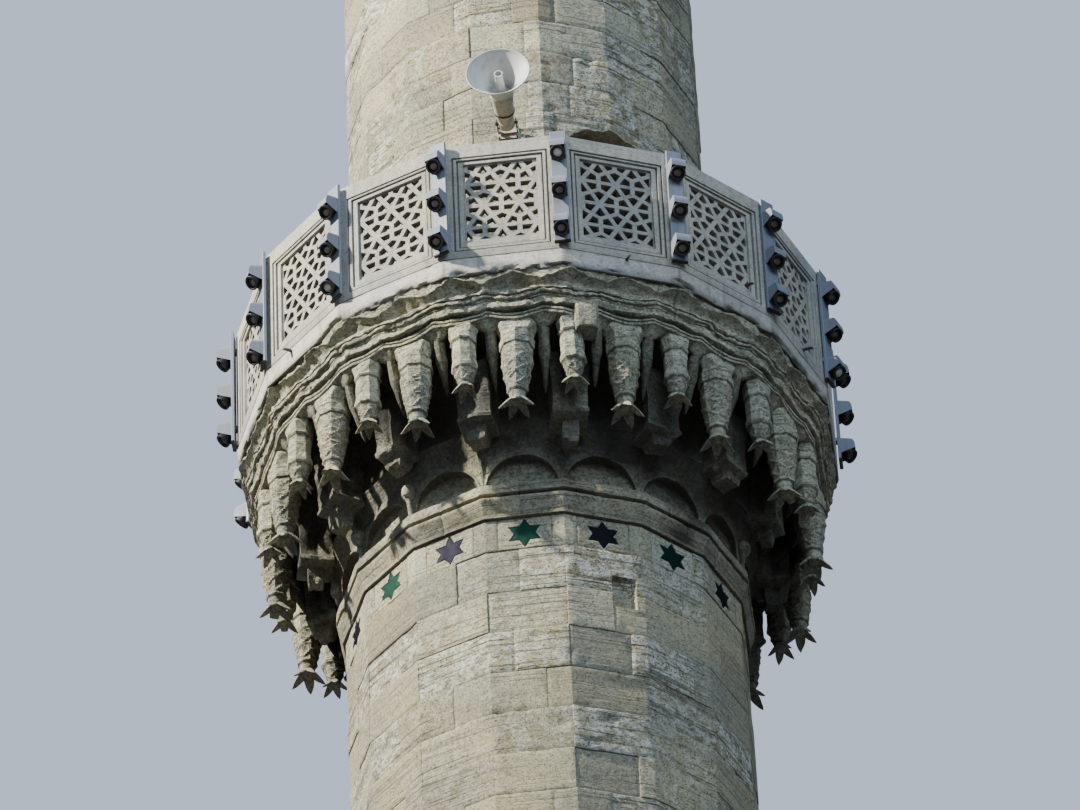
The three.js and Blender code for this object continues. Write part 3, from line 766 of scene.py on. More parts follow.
def wall_course(low, high, start, end, radius, course, ends=None, bore_angle=None, lower_edge=None):
    """A shell between two levels. The outside carries the relief, and one face of the lower
    shaft has a square recess near its top, darkened inside as painted shade. The bore behind
    is plain, with its beds marked, and painted dark as shade."""
    side, upper = 2 * radius * math.sin(HALF), low > SLAB
    if ends is None:
        ends = block_ends(start, end, side, course)
    distance, rise = course_lines(start, end, side, ends), cuts([GAP, high - low - GAP])
    pocketed = not upper and start < POCKET_SIDES[0] < POCKET_SIDES[1] < end
    pocketed = pocketed and low < POCKET_LEVELS[1] and high > POCKET_LEVELS[0]
    if pocketed:
        distance = closer(distance, POCKET_SIDES)
        rise = closer(rise, [edge - low for edge in POCKET_LEVELS if low < edge < high])
    angle = along(distance, radius)
    base = np.full(len(distance), low) if lower_edge is None else lower_edge(radius * sixteen(angle) * np.sin(angle))
    level = base + (high - base) * (rise / (high - low))[:, None]
    outer = place(radius * sixteen(angle), angle, level)

    block = np.clip(np.searchsorted(ends, distance, side="right") - 1, 0, len(ends) - 2)
    offset, worn, tone = (cell_number(block, course, seed, 5) for seed in range(3))
    wear = np.clip(worn ** (1.3 if upper else 2.0) * 1.15 + 0.04, 0, 1)
    nearest = np.abs(distance[:, None] - ends).min(1)
    close = np.minimum(nearest, np.minimum(rise, high - low - rise)[:, None])
    relief, furrow = course_relief(outer, offset, wear, close)
    # Darkening from noise stains, a little more on the upper shaft, and painted shade towards +x, on the side away from
    # the key light.
    darkening = 0.22 * ease(rough_noise(outer, (0.9, 0.9, 0.45), 3, 47), 0.05, 0.8)
    darkening = darkening + 0.12 * upper + 0.12 * ease(outer[..., 0], 0.2, 1.1)
    if pocketed:
        share, part = in_pocket(distance, level)
        relief = relief - POCKET_DEPTH * share
        # Painted shadow in the recess, deepest over its left part, where its left wall would cast it.
        darkening = darkening + share * (0.38 - 0.30 * ease(part, 0.45, 0.75))
    bulge(outer, np.minimum(relief, FURTHEST_OUT), np.hypot(outer[..., 0], outer[..., 1]))

    behind = angle if bore_angle is None else bore_angle(angle)
    lift, step, sink, bed = BORE_ROWS.T[:, :, None]
    inner = place((BORE_RADIUS + sink) * sixteen(behind), behind, base + (high - base) * lift + step)
    joint = near(np.concatenate([close, np.minimum(nearest, bed)]), 0, 0.0045)
    joint[:-4] = np.clip(joint[:-4] + 0.7 * furrow, 0, 1)
    soot = np.concatenate([darkening, np.full((4, len(distance)), BORE_SHADE)])
    tone = tone * 0.85 + 0.15 * cell_number(0, course, 9, 5)
    return shell(np.concatenate([outer, inner]), tone=tone, wear=wear, joint=joint, soot=soot)


sample = wall_course(0.0, 0.32, 0.0, 1.0, LOWER_RADIUS, 0)
print("a metre of one course has", len(sample["points"]), "points")

# %% [markdown]
# ### The star course
#
# Just below the moulding each face holds a six-pointed star of glazed tile, set in a pocket
# with a thin pale line of mortar round it. The block is lofted from its back to its front,
# then in along the face to the star's outline, and down into the pocket.

# %% Star blocks and tiles
STAR_RADIUS, STAR_LEVEL, STAR_DEPTH, STAR_BASE, STAR_BLOCK = 0.117, 2.685, 0.015, 2.560, 0.165
LOWER_FACE = LOWER_RADIUS * math.cos(HALF)
# Paint 4, the darkened green, is painted shade for the stars on faces 0 and 8.
STAR_PAINTS = (4, 3, 1, 3, 1, 2, 1, 3)
TILE_RINGS = np.array([(1.0, 0.0005 - STAR_DEPTH), (1.0, -0.008), (0.985, -0.0055), (0.94, -0.0045), (0.5, -0.0035)])


def star_outline(radius, between=4):
    """A six-pointed star with one point up: tips at the radius, hollows at the radius over the
    root of three, and straight edges between, each cut into equal parts."""
    turn = np.arange(12) * math.pi / 6
    reach = np.where(np.arange(12) % 2, radius, radius / math.sqrt(3))
    spots = np.stack([reach * np.cos(turn), reach * np.sin(turn)], axis=-1)
    share = (np.arange(between) / between)[:, None]
    return (spots[:, None] * (1 - share) + np.roll(spots, -1, axis=0)[:, None] * share).reshape(-1, 2)


def box_outline(turns, half_width, low, high):
    """Points on a rectangle in the given directions from its inside, with the nearest ones
    moved onto its four corners."""
    reach_x = half_width / np.maximum(np.abs(np.cos(turns)), 1e-9)
    reach_y = np.where(np.sin(turns) > 0, high, -low) / np.maximum(np.abs(np.sin(turns)), 1e-9)
    reach = np.minimum(reach_x, reach_y)
    spots = np.stack([reach * np.cos(turns), reach * np.sin(turns)], axis=-1)
    for corner in ((half_width, high), (-half_width, high), (-half_width, low), (half_width, low)):
        spots[np.argmin(np.hypot(*(spots - corner).T))] = corner
    return spots


def star_block(number, low, high):
    """The block of one face: rings from the bore to the face, in to the star, and down."""
    star = star_outline(STAR_RADIUS)
    turns = np.arctan2(star[:, 1], star[:, 0])
    edge = box_outline(turns, STAR_BLOCK, low - STAR_LEVEL + GAP, high - STAR_LEVEL - GAP)
    rings = [  # outline, out from the face, roughness, mortar, joint
        (edge * (0.6, 1), BORE_RADIUS - LOWER_FACE + 0.002, 0, 0, 1), (edge, -0.006, 1, 0, 1),
        (edge * 0.982, -0.002, 1, 0, 0.4), (edge * 0.955, 0, 1, 0, 0),
        *((edge * (1 - share) + star * 1.07 * share, 0, rough, mortar, 0)
          for share, rough, mortar in ((0.25, 1, 0), (0.5, 1, 0), (0.75, 1, 0), (1.0, 0.4, 0.3))),
        (star, -0.001, 0, 1, 0), (star * 0.99, -STAR_DEPTH, 0, 1, 0),
    ]
    spots = np.stack([ring[0] for ring in rings])
    out, rough, mortar, joint = (np.array([ring[k] for ring in rings], float)[:, None] for k in range(1, 5))
    points = beside((number + 0.5) * STEP, spots[..., 0], LOWER_FACE + out, STAR_LEVEL + spots[..., 1])
    bulge(points, 0.004 * rough_noise(points, (0.2, 0.2, 0.05), 3, 61) * rough, LOWER_FACE)
    tone = cell_number(number, 3, 2, 8) * (1 - mortar) + mortar
    return loft(points, tone=tone, wear=0.2 + 0.8 * mortar, joint=joint)


def star_tile(number):
    """A glazed star in its pocket, with a rounded edge and a face that swells a little."""
    scale, out = TILE_RINGS.T[:, :, None]
    spots = star_outline(STAR_RADIUS * 0.945) * scale[..., None]
    points = beside((number + 0.5) * STEP, spots[..., 0], LOWER_FACE + out, STAR_LEVEL + spots[..., 1])
    bulge(points, 0.0012 * soft_noise(points, 0.04, 17))
    return loft(points, paint=STAR_PAINTS[number % 8])


print("a star has", len(star_outline(STAR_RADIUS)), "points round it")

# %% The lower shaft
LOWER_SIDE = 2 * LOWER_RADIUS * math.sin(HALF)
inner_beds = np.arange(1, 8)
uneven = 0.03 * (cell_number(inner_beds, 4, 4, 9) - 0.5)
LOWER_BEDS = np.concatenate([[0.0], inner_beds * STAR_BASE / 8 + uneven, [STAR_BASE]])


def lower_shaft(first, last):
    """Courses from the foot to the star course, then star blocks with a corner block between
    each two."""
    start, end = first * LOWER_SIDE, last * LOWER_SIDE
    forms = [wall_course(low, high, start, end, LOWER_RADIUS, index + 10 * (first < 0))
             for index, (low, high) in enumerate(zip(LOWER_BEDS[:-1], LOWER_BEDS[1:]))]
    reach = LOWER_SIDE / 2 - STAR_BLOCK
    for corner in range(first, last + 1):
        left = corner * LOWER_SIDE - reach * (corner > first)
        right = corner * LOWER_SIDE + reach * (corner < last)
        ends = np.array([left, right])
        forms.append(wall_course(STAR_BASE, MOULDING, left, right, LOWER_RADIUS, 40 + corner, ends))
    for number in range(first, last):
        forms += [star_block(number, STAR_BASE, MOULDING), star_tile(number)]
    return forms


shaft_paints = [limestone, green_glaze, purple_glaze, dark_glaze, shaded_green_glaze]
for way, first in (("front", -4), ("back", 4)):
    nodes = [f"lower_shaft_{way}_right", f"lower_shaft_{way}_left"]
    add_piece("lower_shaft_" + way, lower_shaft(first, first + 8), shaft_paints, nodes)

# %% [markdown]
# ### The upper shaft and its doorway
#
# Above the gallery the shaft is slimmer. One doorway opens onto the gallery, with a low arch.
# Up to the arch the wall stops at the jambs, and the bore side is drawn in so that the jambs
# stay straight. The next course carries the arch on its lower edge.

# %% The upper shaft
UPPER_SIDE = 2 * UPPER_RADIUS * math.sin(HALF)
ARCH_TOP, JAMB_ANGLE, JAMB = 6.360, 0.3321, 0.3823
UPPER_BEDS = np.concatenate([np.linspace(WALK, DOOR_SPRING, 6), np.linspace(ARCH_TOP, TOP, 9)])
ARCH_ENDS = (-1.9, -1.45, -0.9068, -0.56, -JAMB, -0.12, 0.12, JAMB, 0.56, 0.9068, 1.4, 1.85)


def door_arch(x):
    """Lower edge of the arch course at a distance x from the door's middle: the spring plus
    the rise times the root of one minus the square of x over the half width, with the edge a
    little ragged, and the spring itself outside the door."""
    share = np.clip(1 - (x / DOOR_HALF) ** 2, 0, 1)
    line = np.stack([x, 0 * x, 0 * x], axis=-1)
    ragged = 0.016 * soft_noise(line, 0.055, 43) - 0.020 * near(x, -0.06, 0.03)
    return DOOR_SPRING + DOOR_RISE * np.sqrt(share) + ragged * ease(share, 0.1, 0.4)


def bore_behind(angle):
    """Bore angle behind an outer angle. Within the doorway x stays the same, and beyond it the
    difference fades out over three sides."""
    inner_jamb, fade = math.asin(DOOR_HALF / (BORE_RADIUS * 0.985)), 3 * STEP
    drawn_in = np.interp(angle, [-fade, -JAMB_ANGLE, JAMB_ANGLE, fade], [-fade, -inner_jamb, inner_jamb, fade])
    return np.where(np.abs(angle) > fade, angle, drawn_in)


def upper_front():
    """Five sides to each side of the doorway, split at the jambs below the arch."""
    reach, forms = 5 * UPPER_SIDE, []
    for index, (low, high) in enumerate(zip(UPPER_BEDS[:-1], UPPER_BEDS[1:])):
        course = 70 + index
        if high <= DOOR_SPRING + 1e-6:
            for start, end, number in ((-reach, -JAMB, course), (JAMB, reach, course + 20)):
                forms.append(wall_course(low, high, start, end, UPPER_RADIUS, number, bore_angle=bore_behind))
        elif low < DOOR_SPRING + 1e-6:
            ends = np.array([-reach, *ARCH_ENDS, reach])
            forms.append(wall_course(low, high, -reach, reach, UPPER_RADIUS, course, ends, bore_behind, door_arch))
        else:
            forms.append(wall_course(low, high, -reach, reach, UPPER_RADIUS, course))
    return forms


def upper_rear():
    """The six sides at the back, in whole courses."""
    return [wall_course(low, high, 5 * UPPER_SIDE, 11 * UPPER_SIDE, UPPER_RADIUS, 110 + index)
            for index, (low, high) in enumerate(zip(UPPER_BEDS[:-1], UPPER_BEDS[1:]))]


front_nodes = ["upper_shaft_right", "upper_shaft_left", "upper_shaft_over_door"]
add_piece("upper_shaft_front", upper_front(), [limestone], front_nodes)
add_piece("upper_shaft_rear", upper_rear(), [limestone], ["upper_shaft_back"])

# %% [markdown]
# ## The moulding under the carving
#
# A cavetto and a roll run round the shaft, with a deep groove and a plain fillet above. On the
# tower this is a row of long stones cut with a template. The same template, a list of steps
# out and levels, is carried round the sixteen sides and broken by joints and chips.

# %% The moulding course
MOULDING_PROFILE = np.array([
    (0.010, 2.8104), (0.018, 2.814), (0.019, 2.842), (0.012, 2.846), (0.017, 2.860), (0.024, 2.878),
    (0.034, 2.905), (0.044, 2.926), (0.049, 2.936), (0.051, 2.946), (0.048, 2.955), (0.030, 2.959),
    (0.026, 2.968), (0.030, 2.977), (0.056, 2.980), (0.058, 2.986), (0.058, 3.015), (0.056, 3.050),
    (0.044, 3.0596),
])


def round_trip(radius, seed):
    """Grid lines right round the tower: the angle of each, how far it is from a block's end,
    and the number of its block."""
    side = 2 * radius * math.sin(HALF)
    ends = block_ends(0.0, SIDES * side, side, seed)
    distance = course_lines(0.0, SIDES * side, side, ends)[:-1]
    block = np.searchsorted(ends, distance, side="right") - 1
    return along(distance, radius), np.abs(distance[:, None] - ends).min(1), block


def ring_form(outer, low, high, angle, bore_radius=BORE_RADIUS, **values):
    """A closed ring: the outer rows, then two rows down the bore, where every value is 0."""
    bore = place(bore_radius * sixteen(angle), angle, np.array([high - GAP, low + GAP])[:, None])
    points, plain = np.concatenate([outer, bore]), np.zeros((2, len(angle)))
    full = {name: np.concatenate([np.broadcast_to(value, outer.shape[:2]), plain]) for name, value in values.items()}
    return outward(form(points, [grid_quads(*points.shape[:2], ring=True, loop=True)], **full))


def moulding_course():
    """The template carried round: radius from the step out, less joint dips and chips that
    bite deepest where the stone stands out furthest."""
    angle, nearest, block = round_trip(LOWER_RADIUS, 5)
    out, level = MOULDING_PROFILE[:, :1], MOULDING_PROFILE[:, 1:]
    points = place((LOWER_RADIUS + out) * sixteen(angle), angle, level)
    chip = ease(rough_noise(points, (0.11, 0.11, 0.07), 3, 71), 0.25, 0.9) * ease(out, 0.01, 0.055)
    relief = -0.020 * chip - 0.006 * near(nearest, 0, 0.006) + 0.003 * soft_noise(points, 0.35, 73)
    relief = relief + 0.005 * np.minimum(rough_noise(points, (0.06, 0.06, 0.03), 3, 75), 0.3)
    bulge(points, relief, LOWER_RADIUS)
    # The grooves are darkened as painted shade, through both the joint and the soot value.
    groove_shade = near(level, 2.969, 0.009) + 0.6 * near(level, 2.810, 0.003) + 0.5 * near(level, 2.847, 0.006)
    joint = np.clip(groove_shade + 0.7 * near(nearest, 0, 0.004), 0, 1)
    tone = 0.20 + 0.60 * cell_number(block, 2, 2, 77)
    darkening = 0.55 * ease(rough_noise(points, (0.30, 0.30, 0.16), 3, 79), 0.15, 0.8)
    # Painted shade towards +x, away from the key light, and in the grooves.
    darkening = darkening + 0.25 * ease(points[..., 0], -0.6, 0.3) + 0.85 * groove_shade
    # Painted shade also on the recessed faces under the roll.
    soot = np.clip(darkening + 0.15 * ease(0.06 - out, 0.0, 0.05) * ease(2.97 - level, 0, 0.1), 0, 1)
    return ring_form(points, MOULDING, NICHE, angle, tone=tone, wear=0.25 + 0.6 * chip, joint=joint, soot=soot)


add_piece("moulding", [moulding_course()], [limestone], ["moulding_course"])

# %% [markdown]
# ## The first tier: a niche on every face
#
# The hanging carving starts with one round-headed niche to a face. The grid is laid to suit:
# within a niche its columns stand where an arc of equal steps puts them, so the arch's edge
# falls exactly on grid lines and stays clean.

# %% One niche's grid
NICHE_RADIUS, NICHE_FACE, NICHE_CURVE, NICHE_TOP, LEAST_STEP = 0.222, 1.196, 0.022, 0.4196, 0.0012
NICHE_OUT = np.array([(0.000, 1.252), (0.090, 1.262), (0.230, 1.296), (0.330, 1.346), (0.360, 1.354), (0.420, 1.354)])
BEAD = np.array([(1.00, 0.003), (1.025, 0.006), (1.05, 0.004), (1.065, -0.003)])
NICHE_FLOOR_ROWS = 12
NICHE_TURN = np.linspace(math.pi, 0, 37)


def niche_wall(level):
    """Distance from the axis to the tier's wall, at the middle of a face."""
    return np.interp(level, NICHE_OUT[:, 0], NICHE_OUT[:, 1]) * math.cos(HALF)


def niche_grid():
    """One face's grid as places sideways, out and up. The first column is the face's corner.
    The rows climb the niche's floor up to the arch, step out to the wall over it, cross a
    small bead, and then climb to the top of the course. The arch is a half circle: sideways
    the cosine and upwards the sine of the same turn."""
    arch_u, arch_z = NICHE_RADIUS * np.cos(NICHE_TURN), NICHE_RADIUS * np.sin(NICHE_TURN)
    wall = niche_wall(arch_z)
    part = np.append(np.linspace(0, 1, 9), [1, 1, 1])[:, None]
    step = np.append(np.zeros(10), [0.5, 1])[:, None]
    behind = NICHE_FACE + NICHE_CURVE * part**4 + (wall - NICHE_FACE - NICHE_CURVE) * step
    back = np.broadcast_arrays(arch_u, behind, arch_z * part)
    scale, lift = BEAD.T[:, :, None]
    bead = arch_u * scale, wall + lift, arch_z * scale
    climb, last = np.linspace(0, 1, 9)[1:, None], BEAD[-1, 0]
    level = arch_z * last * (1 - climb) + NICHE_TOP * climb
    out = niche_wall(level)
    sideways = arch_u * (last * (1 - climb) + climb * out * math.tan(HALF) / NICHE_RADIUS * 0.985)
    over = sideways, out - 0.045 * np.sin(math.pi * climb) * (1 - np.abs(np.cos(NICHE_TURN))) ** 0.5, level
    sideways, out, rise = (np.concatenate(rows) for rows in zip(back, bead, over))
    order = np.arange(len(rise))[:, None] * LEAST_STEP
    corner_rise = np.maximum(np.append(np.zeros(NICHE_FLOOR_ROWS + len(BEAD)), NICHE_TOP * climb)[:, None], order)
    corner_out = niche_wall(corner_rise)
    sides = (-corner_out * math.tan(HALF), sideways), (corner_out, out), (corner_rise, np.maximum(rise, order))
    return [np.concatenate(pair, axis=1) for pair in sides]


print("one niche's grid, rows and columns:", niche_grid()[0].shape)

# %% The niche course and its bosses
BOSS_RINGS = np.array([  # level and girth
    (3.0606, 0.020), (3.090, 0.017), (3.130, 0.014), (3.170, 0.016), (3.195, 0.024),
    (3.210, 0.040), (3.235, 0.047), (3.265, 0.044), (3.290, 0.030), (3.305, 0.010),
])


def niche_course():
    """One face's grid carried to all sixteen, then worn by noise. The niche's edge and the wall
    over it are darkened as painted shade, and soot with painted shade deepens upwards, under
    the tiers, and away from the sun."""
    sideways, out, rise = niche_grid()
    faces = [beside((number + 0.5) * STEP, sideways, out, NICHE + rise) for number in range(SIDES)]
    points = np.concatenate(faces, axis=1)
    columns = np.append(-HALF, np.arctan2(NICHE_RADIUS * np.cos(NICHE_TURN), NICHE_FACE))
    angle = ((np.arange(SIDES)[:, None] + 0.5) * STEP + columns).ravel()
    grain = rough_noise(points, (0.12, 0.12, 0.06), 3, 81)
    bulge(points, 0.012 * grain - 0.026 * ease(grain, 0.25, 0.9), LOWER_RADIUS)
    row = np.arange(len(rise))[:, None]
    at_arch = near(np.clip(row / 8, 0, 1), 1, 0.10) * (row < NICHE_FLOOR_ROWS)
    darkening = ease(rough_noise(points, (0.40, 0.40, 0.20), 3, 87), -0.1, 0.6)
    soot = 0.08 + 0.40 * darkening + 0.50 * ease(points[..., 2] - NICHE, 0.06, 0.32)
    # Painted shade towards +x, on the side away from the key light.
    soot = soot + 0.42 * ease(points[..., 0], -0.75, 0.0)
    # Painted shade on the niche's arched edge and on the wall over it.
    cavity = 0.85 * at_arch + 0.35 * (row > NICHE_FLOOR_ROWS + 4)
    return ring_form(points, NICHE, CONSOLE, angle, cavity=cavity, soot=soot)


def niche_bosses():
    """A knob at each corner between the niches, carried on a slender leg that stands on the
    moulding: rings round a bent line, wide at the knob and narrow at the leg."""
    turns, (level, girth), forms = circle(12), BOSS_RINGS.T[:, :, None], []
    out = 1.262 + np.interp(level, [3.06, 3.20, 3.30], [0.004, 0.022, 0.030])
    for corner in range(SIDES):
        if cell_number(corner, 1, 6, 83) < 0.2 + 0.4 * (math.sin(corner * STEP) > -0.1):
            continue
        ring = beside(corner * STEP, girth * np.cos(turns), out + girth * np.sin(turns), level)
        ring = ring + 0.010 * rough_noise(ring, 0.06, 2, 85)[..., None]
        # Bosses on the side away from the key light are darker, as painted shade.
        forms.append(loft(ring, cavity=0.1, soot=0.25 + 0.4 * float(ease(np.sin(corner * STEP), -0.6, 0.1))))
    return forms


add_piece("niches", [niche_course()] + niche_bosses(), [carved_stone], ["niche_course"])

# %% [markdown]
# ## The second tier: dark cells and broken consoles
#
# Behind the drops the wall curves in under each face like a small apse, and a blocky console
# hangs at each corner. Most consoles have lost their lower end, so each one stops at its own
# length. The light barely reaches here, so the cells and consoles are painted dark as shade,
# and soot has built up over centuries.

# %% Console course
APSE_FOOT, APSE_HEAD = 1.354, 1.500
CONSOLE_GIRTH = (0.55, 0.64, 0.70, 0.72, 0.84, 0.98, 1.00, 0.95, 0.92, 0.93, 0.95, 0.98, 1.02, 1.06, 1.10)
CONSOLE_HOLLOW = (0, 0, 0.02, 0.03, 0, 0, 0, 0.02, 0.10, 0.16, 0.18, 0.16, 0.12, 0.08, 0.05)
CONSOLE_UPPER = (3.52, 3.58, 3.64, 3.70, 3.76, 3.86)


def apses():
    """The wall of the tier. At a corner it leans out evenly. Between corners it is hollowed by
    the sine of the place across the face, most at mid height."""
    angle, part = circle(SIDES * 26), np.linspace(0, 1, 15)[:, None]
    across_face = np.mod(angle, STEP) / STEP
    hollow = np.sin(math.pi * across_face) ** 0.8 * np.sin(math.pi * np.clip(part * 1.08, 0, 1)) ** 0.7
    ridge = near(np.mod(across_face * 2, 1), 0.5, 0.05) * np.sin(math.pi * part)
    radius = APSE_FOOT + (APSE_HEAD - APSE_FOOT) * part**0.8 - 0.125 * hollow + 0.018 * ridge
    points = place(radius * sixteen(angle), angle, CONSOLE + GAP + part * (PENDANT - CONSOLE - 2 * GAP))
    bulge(points, 0.014 * rough_noise(points, (0.12, 0.12, 0.10), 3, 91), radius)
    # The tier's wall is darkened as painted shade with soot, most in the hollows and towards the top.
    return ring_form(points, CONSOLE, PENDANT, angle, cavity=0.45 + 0.55 * hollow, soot=0.72 + 0.25 * part)


def mid_side(turns):
    """1 at the middle of each side of a square, fading towards its corners."""
    return near(np.mod(turns, math.pi / 2), math.pi / 4, 0.28)


def squared(turns, hollow):
    """A square outline with corners at 1 and each side hollowed in its middle."""
    return math.cos(math.pi / 4) / np.cos(np.mod(turns, math.pi / 2) - math.pi / 4) - hollow * mid_side(turns)


def console(corner):
    """A console: square rings from its head down to a lip, then a narrower stub that ends at
    its own level with a rough, broken face."""
    draw = [cell_number(corner, 5, seed, 95) for seed in range(4)]
    turns, lip = circle(40), 3.36 + 0.05 * draw[1]
    end = lip - 0.05 - 0.16 * draw[2]
    stub = [end, end + 0.012, (end + lip) / 2, lip - 0.012]
    level = np.array(stub + [lip, lip + 0.012, lip + 0.035, lip + 0.045, lip + 0.06, *CONSOLE_UPPER])[:, None]
    girth, hollow = np.array(CONSOLE_GIRTH) * (0.138 + 0.028 * draw[0]), np.array(CONSOLE_HOLLOW)[:, None]
    girth[:4] *= 0.55 + 0.45 * draw[3]
    reach, turned = girth[:, None] * squared(turns, hollow), turns + math.pi / 4
    points = beside(corner * STEP + DROP_TURN, reach * np.cos(turned), 1.425 - reach * np.sin(turned), level)
    points = points + 0.024 * rough_noise(points, 0.07, 3, 97)[..., None] * np.array([1.0, 1.0, 0.7])
    points[0, :, 2] += 0.03 * soft_noise(points[0], 0.06, 99)
    # Painted shade with soot: darker higher up under the tiers, on the side away from the key light, and in the
    # hollowed middles of the sides.
    console_shade_and_soot = 0.68 + 0.27 * ease(level, lip + 0.02, 3.60) + 0.16 * float(ease(math.sin(corner * STEP), -0.5, 0.2))
    return loft(points, cavity=3.0 * hollow * mid_side(turns), soot=np.minimum(console_shade_and_soot, 0.97))


consoles = [console(corner) for corner in range(SIDES)]
add_piece("consoles", [apses()] + consoles, [carved_stone], ["console_course"])

# %% [markdown]
# ## The outer tier: thirty-two hanging drops
#
# The showpiece of the carving is a fringe of stone drops, long at the middle of each face and
# short at each corner. Each is an eight-sided spindle with rings and a net of raised straps,
# and ends in a neck with a flower of five pointed petals. A drop is a profile of girth against
# depth, turned round its own axis on an eight-sided outline. The straps are raised on it by a
# rule, so all drops share one design, while noise and a little lean make each its own.

# %% A drop's body
LONG_GIRTH = np.array([
    (0.020, 0.120), (0.000, 0.134), (-0.020, 0.130), (-0.050, 0.113), (-0.085, 0.103), (-0.110, 0.107),
    (-0.116, 0.112), (-0.150, 0.111), (-0.182, 0.109), (-0.190, 0.100), (-0.198, 0.097), (-0.240, 0.102),
    (-0.290, 0.102), (-0.340, 0.097), (-0.390, 0.090), (-0.440, 0.081), (-0.490, 0.071), (-0.515, 0.066),
    (-0.528, 0.070), (-0.540, 0.064), (-0.550, 0.053), (-0.562, 0.050), (-0.585, 0.049), (-0.605, 0.042),
    (-0.618, 0.032), (-0.628, 0.020), (-0.634, 0.008),
])
SHORT_GIRTH = np.array([
    (0.020, 0.090), (0.000, 0.098), (-0.020, 0.093), (-0.050, 0.083), (-0.075, 0.080), (-0.088, 0.087),
    (-0.100, 0.080), (-0.112, 0.073), (-0.160, 0.076), (-0.215, 0.075), (-0.255, 0.075), (-0.275, 0.079),
    (-0.300, 0.085), (-0.318, 0.083), (-0.330, 0.071), (-0.338, 0.067), (-0.370, 0.064), (-0.400, 0.056),
    (-0.425, 0.046), (-0.440, 0.043), (-0.456, 0.042), (-0.468, 0.033), (-0.477, 0.020), (-0.482, 0.008),
])
DROP_COLUMNS, STEEP = 72, 1.6


def octagon(turns):
    """An eight-sided outline with its corners at 1 and one corner at turn 0."""
    eighth = math.pi / 4
    return math.cos(eighth / 2) / np.cos(np.mod(turns, eighth) - eighth / 2)


def straps(turns, depth, top, bottom, count):
    """Raised straps, from 0 to 1: two families of slanting lines cross between the top and
    the bottom, with a level ring at each crossing, and the field fades out at both ends."""
    rise = (depth - bottom) / (top - bottom) * count
    swing = turns / (math.pi / 2)
    away = [np.abs(np.mod(swing + sign * rise + 0.5, 1) - 0.5) for sign in (1, -1)]
    ring = np.abs(np.mod(rise + 0.5, 1) - 0.5)
    line = np.maximum(1 - ease(np.minimum(*away), 0.045, 0.115), 0.8 * (1 - ease(ring, 0.03, 0.09)))
    return line * ease(depth, bottom - 0.01, bottom + 0.01) * (1 - ease(depth, top - 0.01, top + 0.01))


def drop_body(girth, rows, field):
    """Level and reach of a drop's points, its strap mask and its carved share. Rows sit closer
    where the girth changes fast. The outline is eight-sided on the body and rounds off at the
    neck, and the field between the straps is sunk."""
    depth = girth[:, 0]
    pace = np.abs(np.diff(depth)) + STEEP * np.abs(np.diff(girth[:, 1]))
    mark = np.concatenate([[0], np.cumsum(pace)])
    level = np.interp(np.linspace(0, mark[-1], rows), mark, depth)[::-1, None]
    width, turns = np.interp(-level, -depth, girth[:, 1]), circle(DROP_COLUMNS)
    neck = ease(-level, -field[1] + 0.01, -field[1] + 0.05)
    outline = octagon(turns) * (1 - neck) + neck * 0.97
    mask = straps(turns, level, *field)
    carved = ease(level, field[1] - 0.02, field[1]) * (1 - ease(level, field[0] - 0.01, field[0] + 0.01))
    return level, turns, width * outline + 0.0075 * mask - 0.0055 * carved, mask, carved


print("a long drop's grid:", drop_body(LONG_GIRTH, 64, (-0.215, -0.515, 3))[2].shape)

# %% Flowers at the ends of the drops
PETALS, BROKEN_SHARE = 5, 0.12


def petal(size, turn):
    """One petal: rings from its root to its tip. Its line leaves the neck, swings out and
    curves down. Its section is a shallow trough, bent round the drop's axis, that narrows to a
    point, and it is thinner towards the tip."""
    part, lap = np.linspace(0, 1, 9)[:, None], circle(12)
    out = size * (0.26 + 0.90 * part**1.1)
    down = -size * (0.50 * part + 0.55 * part**1.8)
    half = size * 0.34 * np.sin(math.pi * np.clip(0.24 + 0.76 * part, 0, 1)) ** 0.7 + 0.0008
    wide, deep = np.cos(lap) * half, np.sin(lap) * (size * (0.12 - 0.080 * part))
    cup = 0.55 * (np.cos(lap) ** 2) * half
    return beside(turn, wide, out + deep * 0.75 - cup * 0.75, down + deep * 0.5 - cup * 0.35)


def flower(size, number):
    """Five petals round the neck, the first one facing out. Each is a closed form, and about
    one in eight has lost its tip."""
    forms = []
    for index in range(PETALS):
        points = petal(size * (0.94 + 0.14 * cell_number(number, index, 3, 101)), index * 2 * math.pi / PETALS)
        rings = 6 if cell_number(number, index, 4, 103) < BROKEN_SHARE else len(points)
        forms.append(loft(points[:rings], cavity=0.12, soot=0.05))
    return forms


print("a petal reaches", round(float(-petal(0.092, 0.0)[..., 1].min()), 3), "m from the drop's axis")

# %% Placing the drops


def seat(forms, number, angle, radius):
    """Leans, turns and carries a drop's forms to their place on the ring, and roughens them
    with noise that grows with the distance from the drop's own axis."""
    lean = np.array([cell_number(number, 2, seed, 105) - 0.5 for seed in range(3)])
    turn, wander = angle + 0.10 * lean[2], 0.05 * lean[:2]
    spin = np.array([[math.cos(turn), -math.sin(turn), 0], [math.sin(turn), math.cos(turn), 0], [0, 0, 1]])
    for one in forms:
        spot = one["points"]
        spot[:, :2] += spot[:, 2:] * wander
        spot = spot @ spin.T + place(radius, angle, PENDANT)
        grain = np.stack([rough_noise(spot, (0.05, 0.05, 0.035), 2, seed) for seed in (111, 113)], axis=-1)
        away = spot[:, :2] - place(radius, angle, 0.0)[:2]
        spot[:, :2] += away * (0.045 * grain[:, :1]) + 0.003 * grain
        one["points"] = spot
    return forms


